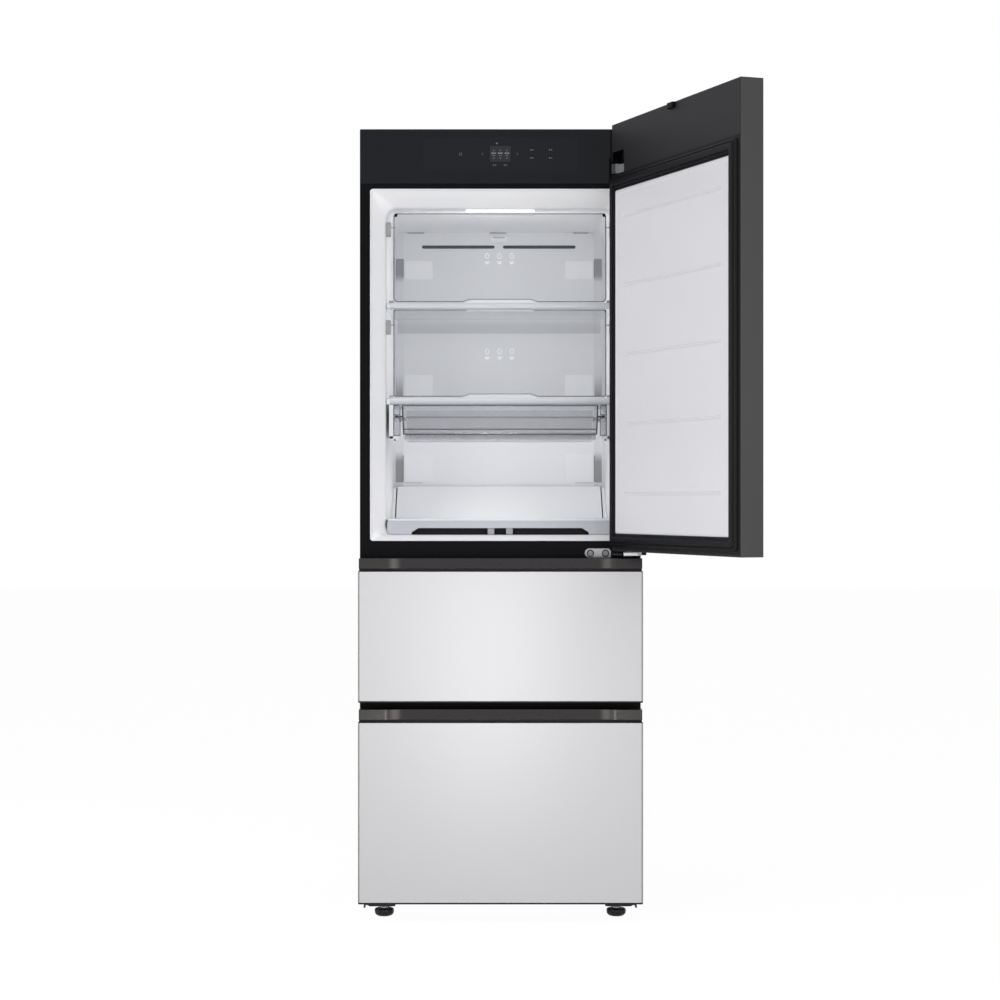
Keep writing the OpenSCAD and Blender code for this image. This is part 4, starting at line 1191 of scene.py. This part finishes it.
# Upper hinge: arm and pin, the flange on the boss, and its head
arm = rod("upper_hinge_arm", (HINGE_X, HINGE_Y, 1759), (HINGE_X, HINGE_Y, 1780), 11, 48)
bar = plate("bar", [(277, -3), (292, -3), (309, -47.5), (296, -52.5)], "z", (1759, 1780))
arm = as_one("upper_hinge_arm", [soften(bar, 0.8, 2), soften(arm, 0.8, 2)])
fit(arm, hinge_grey, "cabinet", "hinge_steel", "upper_hinge")
pin = rod("upper_hinge_pin", (HINGE_X, HINGE_Y, 1740), (HINGE_X, HINGE_Y, 1796), 4.95, 32)
soften(pin, 0.8, 2)
fit(pin, hinge_steel, "cabinet", "hinge_steel")
flange = block("upper_hinge_flange", (262.3, 321.8), (-3, 3), (1745, 1793))
round_edges(flange, lambda x, y, z, d: abs(d.y) > 0.9, 5, 4)
soften(flange, 0.6, 2)
fit(flange, cap_black, "cabinet", "hinge_steel")
head = plate("upper_hinge_head", [(263, -3), (263.5, -5), (267, -9.5), (272, -12.5), (300, -12.5),
                                  (300, -3)], "z", (1760, 1782.5))
soften(head, 1.2, 3)
# the head's slanted side is darker: painted shade
tint(head, hinge_grey_shaded, lambda x, y, z, n: n.x < -0.25)
fit(head, hinge_grey, "cabinet", "hinge_steel")

# Lower hinge: a plate with two screws on the frame, and an arm with pin and collar under the door
STRAP_END = (211, 862.5)                         # middle of the plate's round end
turns = [math.radians(a) for a in range(90, 271, 15)]
strap_outline = [(STRAP_END[0] + 11 * math.cos(a), STRAP_END[1] + 11 * math.sin(a)) for a in turns]
strap_outline += [(262, 851.5), (262, 868), (257, 873.5)]
strap = plate("lower_hinge_plate", strap_outline, "y", (-3, -0.05))
soften(strap, 0.6, 2)
lift = plate("lower_hinge_arm", [(262, -0.4), (331.5, -0.4), (331.5, -52), (322, -60), (288, -60),
                                 (262, -14)], "z", (857, 865.6))
soften(lift, 0.9, 3)
tint(lift, cap_black, lambda x, y, z, n: n.x < -0.3)
fit(lift, arm_steel, "cabinet", "hinge_steel")
pin = rod("pin", (HINGE_X, HINGE_Y, 865), (HINGE_X, HINGE_Y, 884), 4.95, 32)
collar = rod("collar", (HINGE_X, HINGE_Y, 865), (HINGE_X, HINGE_Y, 867.4), 9, 32)
band = plate("lower_hinge_band", [(264.6, -20.8), (263.6, -21.4), (284, -57.4), (285, -56.8)], "z",
             (858.4, 861.6))
fit(soften(band, 0.2, 1), hinge_steel, "cabinet", "hinge_steel")
weld(strap, soften(pin, 0.6, 2), soften(collar, 0.5, 2))
fit(strap, hinge_steel, "cabinet", "hinge_steel", "lower_hinge")
SCREW_Z = 861.8
screws = []
recess_shades = []
for x in (213.3, 249.1):
    head = rod("screw", (x, -5.6, SCREW_Z), (x, -2.9, SCREW_Z), 6.2, 32)
    for wide, high in ((3.6, 0.8), (0.8, 3.6)):  # the cross for the driver
        carve(head, block("hole", (x - wide, x + wide), (-7, -4.4), (SCREW_Z - high, SCREW_Z + high)))
    screws.append(soften(head, 0.8, 3))
    # a black disc behind each head: painted shade of the recess that it sits in
    recess_shades.append(soften(rod("seat", (x, -3.3, SCREW_Z), (x, -2.9, SCREW_Z), 8.7, 32), 0.2, 1))
fit(as_one("hinge_screws", screws), screw_dark, "cabinet", "hinge_steel")
fit(as_one("screw_recess_shades", recess_shades), cap_black, "cabinet", "hinge_steel")
# Dark stub under the door's corner, drawn where the open door holds it
tip = block("hinge_tip", (328.7, 339.6), (-92, -84), (859.4, 867.8))
round_edges(tip, lambda x, y, z, d: abs(d.y) > 0.9 and z < 862, 2.5, 3)
soften(tip, 0.7, 2)
fit(tip, cap_black, "door", "door_grey")


# ---- drawers ----

RECESS = (7.2, 11)                               # depth of the finger recess at the trim's foot and top
RECESS_X = (224, 272)                            # its ends rise to the front between these places


def trim_ring(half, z, depth, front):
    """The trim seen from above: flat ends, and a recess that sinks between them in a soft curve."""
    rise = []
    for step in range(13):
        t = step / 12
        x = RECESS_X[1] - (RECESS_X[1] - RECESS_X[0]) * t
        rise.append((x, front + depth * t * t * (3 - 2 * t)))
    outline = ([(-half, INNER_Y), (-half, front)] + [(-x, y) for x, y in rise] + rise[::-1]
               + [(half, front), (half, INNER_Y)])
    return [(x, y, z) for x, y in outline]


def build_front(name, body):
    """A drawer's front: panel, dark edge, its paler side strips, handle trim and the seam under it."""
    half, (low, high) = FRONT_HALF, reach(name + "_front")[2]
    foot = low + 3.8
    panel = rounded_plate(name + "_panel", (EDGE - half, half - EDGE), (FRONT_Y, PANEL_BACK_Y),
                          (foot, high - 1.2), 1.6)
    soften(panel, 0.5, 2)
    fit(panel, panel_white, body, "panel_white", name + "_front")
    rim = block(name + "_edge", (-half, half), (FRONT_Y + 0.2, INNER_Y), (low, high))
    carve(rim, block("hole", (EDGE - 0.2 - half, half - EDGE + 0.2), (-80, -68),
                     (foot - 0.2, high - 1)))
    round_edges(rim, lambda x, y, z, d: abs(d.y) > 0.9 and abs(x) > half - 1 and z < low + 1, 2.5, 3)
    soften(rim, 0.5, 2)
    fit(rim, edge_dark, body, "door_grey", name + "_core")
    strips = [soften(block(name + "_edge_strips", side(s, half - EDGE + 0.2, half - 0.5),
                           (FRONT_Y, FRONT_Y + 0.5), (foot, high - 0.8)), 0.2, 1) for s in (-1, 1)]
    fit(weld(*strips), edge_light, body, "door_grey")
    trim_half = reach(name + "_trim")[0][1]
    bar = loft(name + "_handle", [trim_ring(trim_half, high + 6, RECESS[0], FRONT_Y),
                                  trim_ring(trim_half, high + 30, RECESS[1], FRONT_Y + 2.4)])
    soften(bar, 0.8, 3)
    fit(bar, handle_paint, body, "trim_brown", name + "_trim")
    seam = block(name + "_trim_seam", (0.2 - trim_half, trim_half - 0.2), (-60.5, INNER_Y),
                 (high + 0.1, high + 6.2))
    soften(seam, 0.3, 1)
    fit(seam, edge_dark, body, "trim_brown")


for name in ("middle", "lower"):
    body = name + "_drawer"
    build_front(name, body)
    room = reach(name + "_gasket")
    strip = seal_ring(name + "_seal", room[0][1] - 0.1, (room[2][0] + 0.1, room[2][1] - 0.1), [
        (0, -18), (0, -13.5), (1.4, -12.5), (3, -13), (4.2, -10), (4, -4.4), (5.2, -2.2), (15, -2),
        (16, -4.4), (15.8, -10), (17, -13), (20, -12.6), (20.9, -14), (20.9, -18)])
    soften(strip, 0, smooth=50)
    fit(strip, seal_rubber, body, "rubber_black", name + "_gasket")


def build_bin(name):
    """A moulded bin, narrow between the rails and wide above them."""
    _, (_, back), z = reach(name + "_bin")
    ledge_z = reach(name + "_sliders")[2][1]
    low, high, wall = 258.9, 273.9, 2.5

    def ring(half, height, inset, radius):
        y = (6.2 + inset, back - inset)
        return [(u, v, height) for u, v in rounded((-half, half), y, radius, 5)]

    piece = loft(name + "_drawer_bin", [
        ring(low - 9, z[0] + 0.2, 9, 12), ring(low - 3, z[0] + 1.8, 3, 16), ring(low, z[0] + 7, 0, 18),
        ring(low, ledge_z, 0, 18), ring(high, ledge_z + 0.1, 0, 20), ring(high, z[1] - 0.2, 0, 20),
        ring(high - wall, z[1] - 0.2, wall, 18), ring(high - wall, ledge_z + wall, wall, 18),
        ring(low - wall, ledge_z + wall, wall, 16), ring(low - wall, z[0] + 8, wall, 16),
        ring(low - wall - 6, z[0] + 2.8, wall + 6, 12)])
    soften(piece, 0.7, 2)
    tint(piece, bin_rim, lambda x, y, height, n: height > z[1] - 3)
    fit(piece, bin_frost, name + "_drawer", "liner_white", name + "_bin")


build_bin("middle")
build_bin("lower")


# ---- feet, rollers, underside and machine cover ----

def build_foot(name, node, body):
    """A levelling foot: knob, nut and threaded stud."""
    x, y, _ = middle_of(node)
    outline = []
    for i in range(48):                          # a knob with finger grooves
        a = math.tau * i / 48
        r = 22.9 - (1.5 if i % 4 in (1, 2) else 0)
        outline.append((r * math.cos(a), r * math.sin(a)))
    profile = ((0.6, 0.0), (0.74, 1), (0.88, 3.4), (0.97, 6.6), (1, 10), (1, 15), (0.96, 17),
               (0.82, 18.4))
    knob = loft(name + "_knob", [[(x + u * scale, y + v * scale, z) for u, v in outline]
                                 for scale, z in profile])
    fit(soften(knob, 0), foot_black, body, "foot_black", node)
    nut = rod(name + "_nut", (x, y, 18.2), (x, y, 22.6), 9.4, 6)
    fit(soften(nut, 0.8, 2), zinc, body, "foot_black")
    thread = []
    for i in range(2, 31):                       # crests and roots up the stud
        radius = 4.95 if i % 2 else 4.3
        thread.append([(x + u, y + v, 19 + i * 1.3) for u, v in circle(radius, 20)])
    stud = loft(name + "_stud", thread)
    soften(stud, 0)
    fit(stud, screw_steel, body, "foot_black")


build_foot("left_levelling", "foot_left", "left_foot")
build_foot("right_levelling", "foot_right", "right_foot")

# Dished brackets of the feet
FOOT_X, FOOT_Y, _ = middle_of("foot_right")
shoes = []
for s in (-1, 1):
    x = s * FOOT_X
    dish = rounded_plate("dish", sorted((x + s * 37, x - s * 27)), (3, 60), (25.1, 30), 8, "z")
    carve(dish, rod("hole", (x, FOOT_Y, 20), (x, FOOT_Y, 35), 5.05, 32),
          cone("hole", (x, FOOT_Y, 24.5), (x, FOOT_Y, 28.4), 19, 13, 32))
    tab = plate("tab", [(s * 323, 31), (s * 318.4, 31), (s * 320, 21.4), (s * 324.6, 21.4)],
                "y", (6, 40))
    wedge = plate("wedge", [(x + s * 46, 30), (x + s * 46, 29), (x + s * 30, 25.2), (x + s * 30, 30)],
                  "y", (5, 56))
    shoes += [soften(dish, 0.8, 3), soften(tab, 0.4, 2), soften(wedge, 0.3, 2)]
fit(as_one("foot_shoes", shoes), machine_black, "cabinet", "machine_black", "foot_brackets")

# Rollers between their cheeks
ROLLER_X, ROLLER_Y, ROLLER_Z = turning("right_roller_spin")
forks = []
for s in (-1, 1):
    for x in (s * ROLLER_X - 13, s * ROLLER_X + 13):
        cheek = rounded_plate("cheek", (x - 1, x + 1), (573, 597), (6.2, 29.9), 6, "x")
        forks.append(soften(cheek, 0.4, 2))
    axle = rod("axle", (s * ROLLER_X - 15, ROLLER_Y, ROLLER_Z), (s * ROLLER_X + 15, ROLLER_Y, ROLLER_Z),
               2.95, 24)
    forks.append(soften(axle, 0.4, 2))
fit(as_one("roller_forks", forks), zinc, "cabinet", "zinc_steel", "roller_brackets")


def build_roller(name, node, body):
    """A wheel turned from its section: radius and place along the axle."""
    x = turning(body + "_spin")[0]
    section = ((3.1, -10.8), (6, -10.9), (6.4, -9.6), (10.6, -9.6), (11, -10.9), (12.6, -10.9),
               (13.9, -9.4), (13.9, -2), (13.1, -1), (13.1, 1), (13.9, 2), (13.9, 9.4), (12.6, 10.9),
               (11, 10.9), (10.6, 9.6), (6.4, 9.6), (6, 10.9), (3.1, 10.8))
    wheel = closed_loft(name, [[(x + w, ROLLER_Y + u, ROLLER_Z + v) for u, v in circle(r, 40)]
                               for r, w in section])
    soften(wheel, 0)
    fit(wheel, tyre_black, body, "rubber_black", node)


build_roller("left_wheel", "roller_left", "left_roller")
build_roller("right_wheel", "roller_right", "right_roller")

# Louvred cover of the machine room, and the cord gland in it
GLAND_X, _, GLAND_Z = middle_of("power_inlet")
cover = block("louvre_cover", (-330.6, 330.6), (BACK - 1.9, BACK - 0.8), (32.4, 232.8))
LOUVRE_LENGTH, LOUVRE_PITCH = 190, 14
louvres = [(start, 56 + LOUVRE_PITCH * i) for start in (-290, 70) for i in range(10)]
carve(cover, *[rounded_plate("hole", (x, x + LOUVRE_LENGTH), (620, 630), (z, z + 6), 2.8, steps=3)
               for x, z in louvres],
      rod("hole", (GLAND_X, 620, GLAND_Z), (GLAND_X, 630, GLAND_Z), 9, 32))
soften(cover, 0.25, 2)
hoods = [soften(rounded_plate("hood", (x - 2, x + LOUVRE_LENGTH + 2), (BACK - 1, BACK - 0.1),
                              (z + 6.2, z + 8.6), 1, steps=2), 0.3, 2) for x, z in louvres]
heads = [soften(rod("head", (x, BACK - 1, z), (x, BACK - 0.1, z), 4.5, 20), 0.4, 2)
         for x in (-322, -40, 40, 322) for z in (42, 223)]
weld(cover, *hoods, *heads)
fit(cover, back_steel, "cabinet", "cover_grey", "machine_cover")

gland_section = ((4.05, 608.2), (8.9, 608.2), (8.9, 620.8), (12.9, 621), (12.9, 623.9), (8.9, 624),
                 (8.9, 624.9), (8.2, 625.9), (4.05, 625.9))
gland = closed_loft("cord_gland", [[(GLAND_X + u, y, GLAND_Z + v) for u, v in circle(r, 32)]
                                   for r, y in gland_section])
soften(gland, 0)
fit(gland, seal_rubber, "cabinet", "rubber_black", "power_inlet")
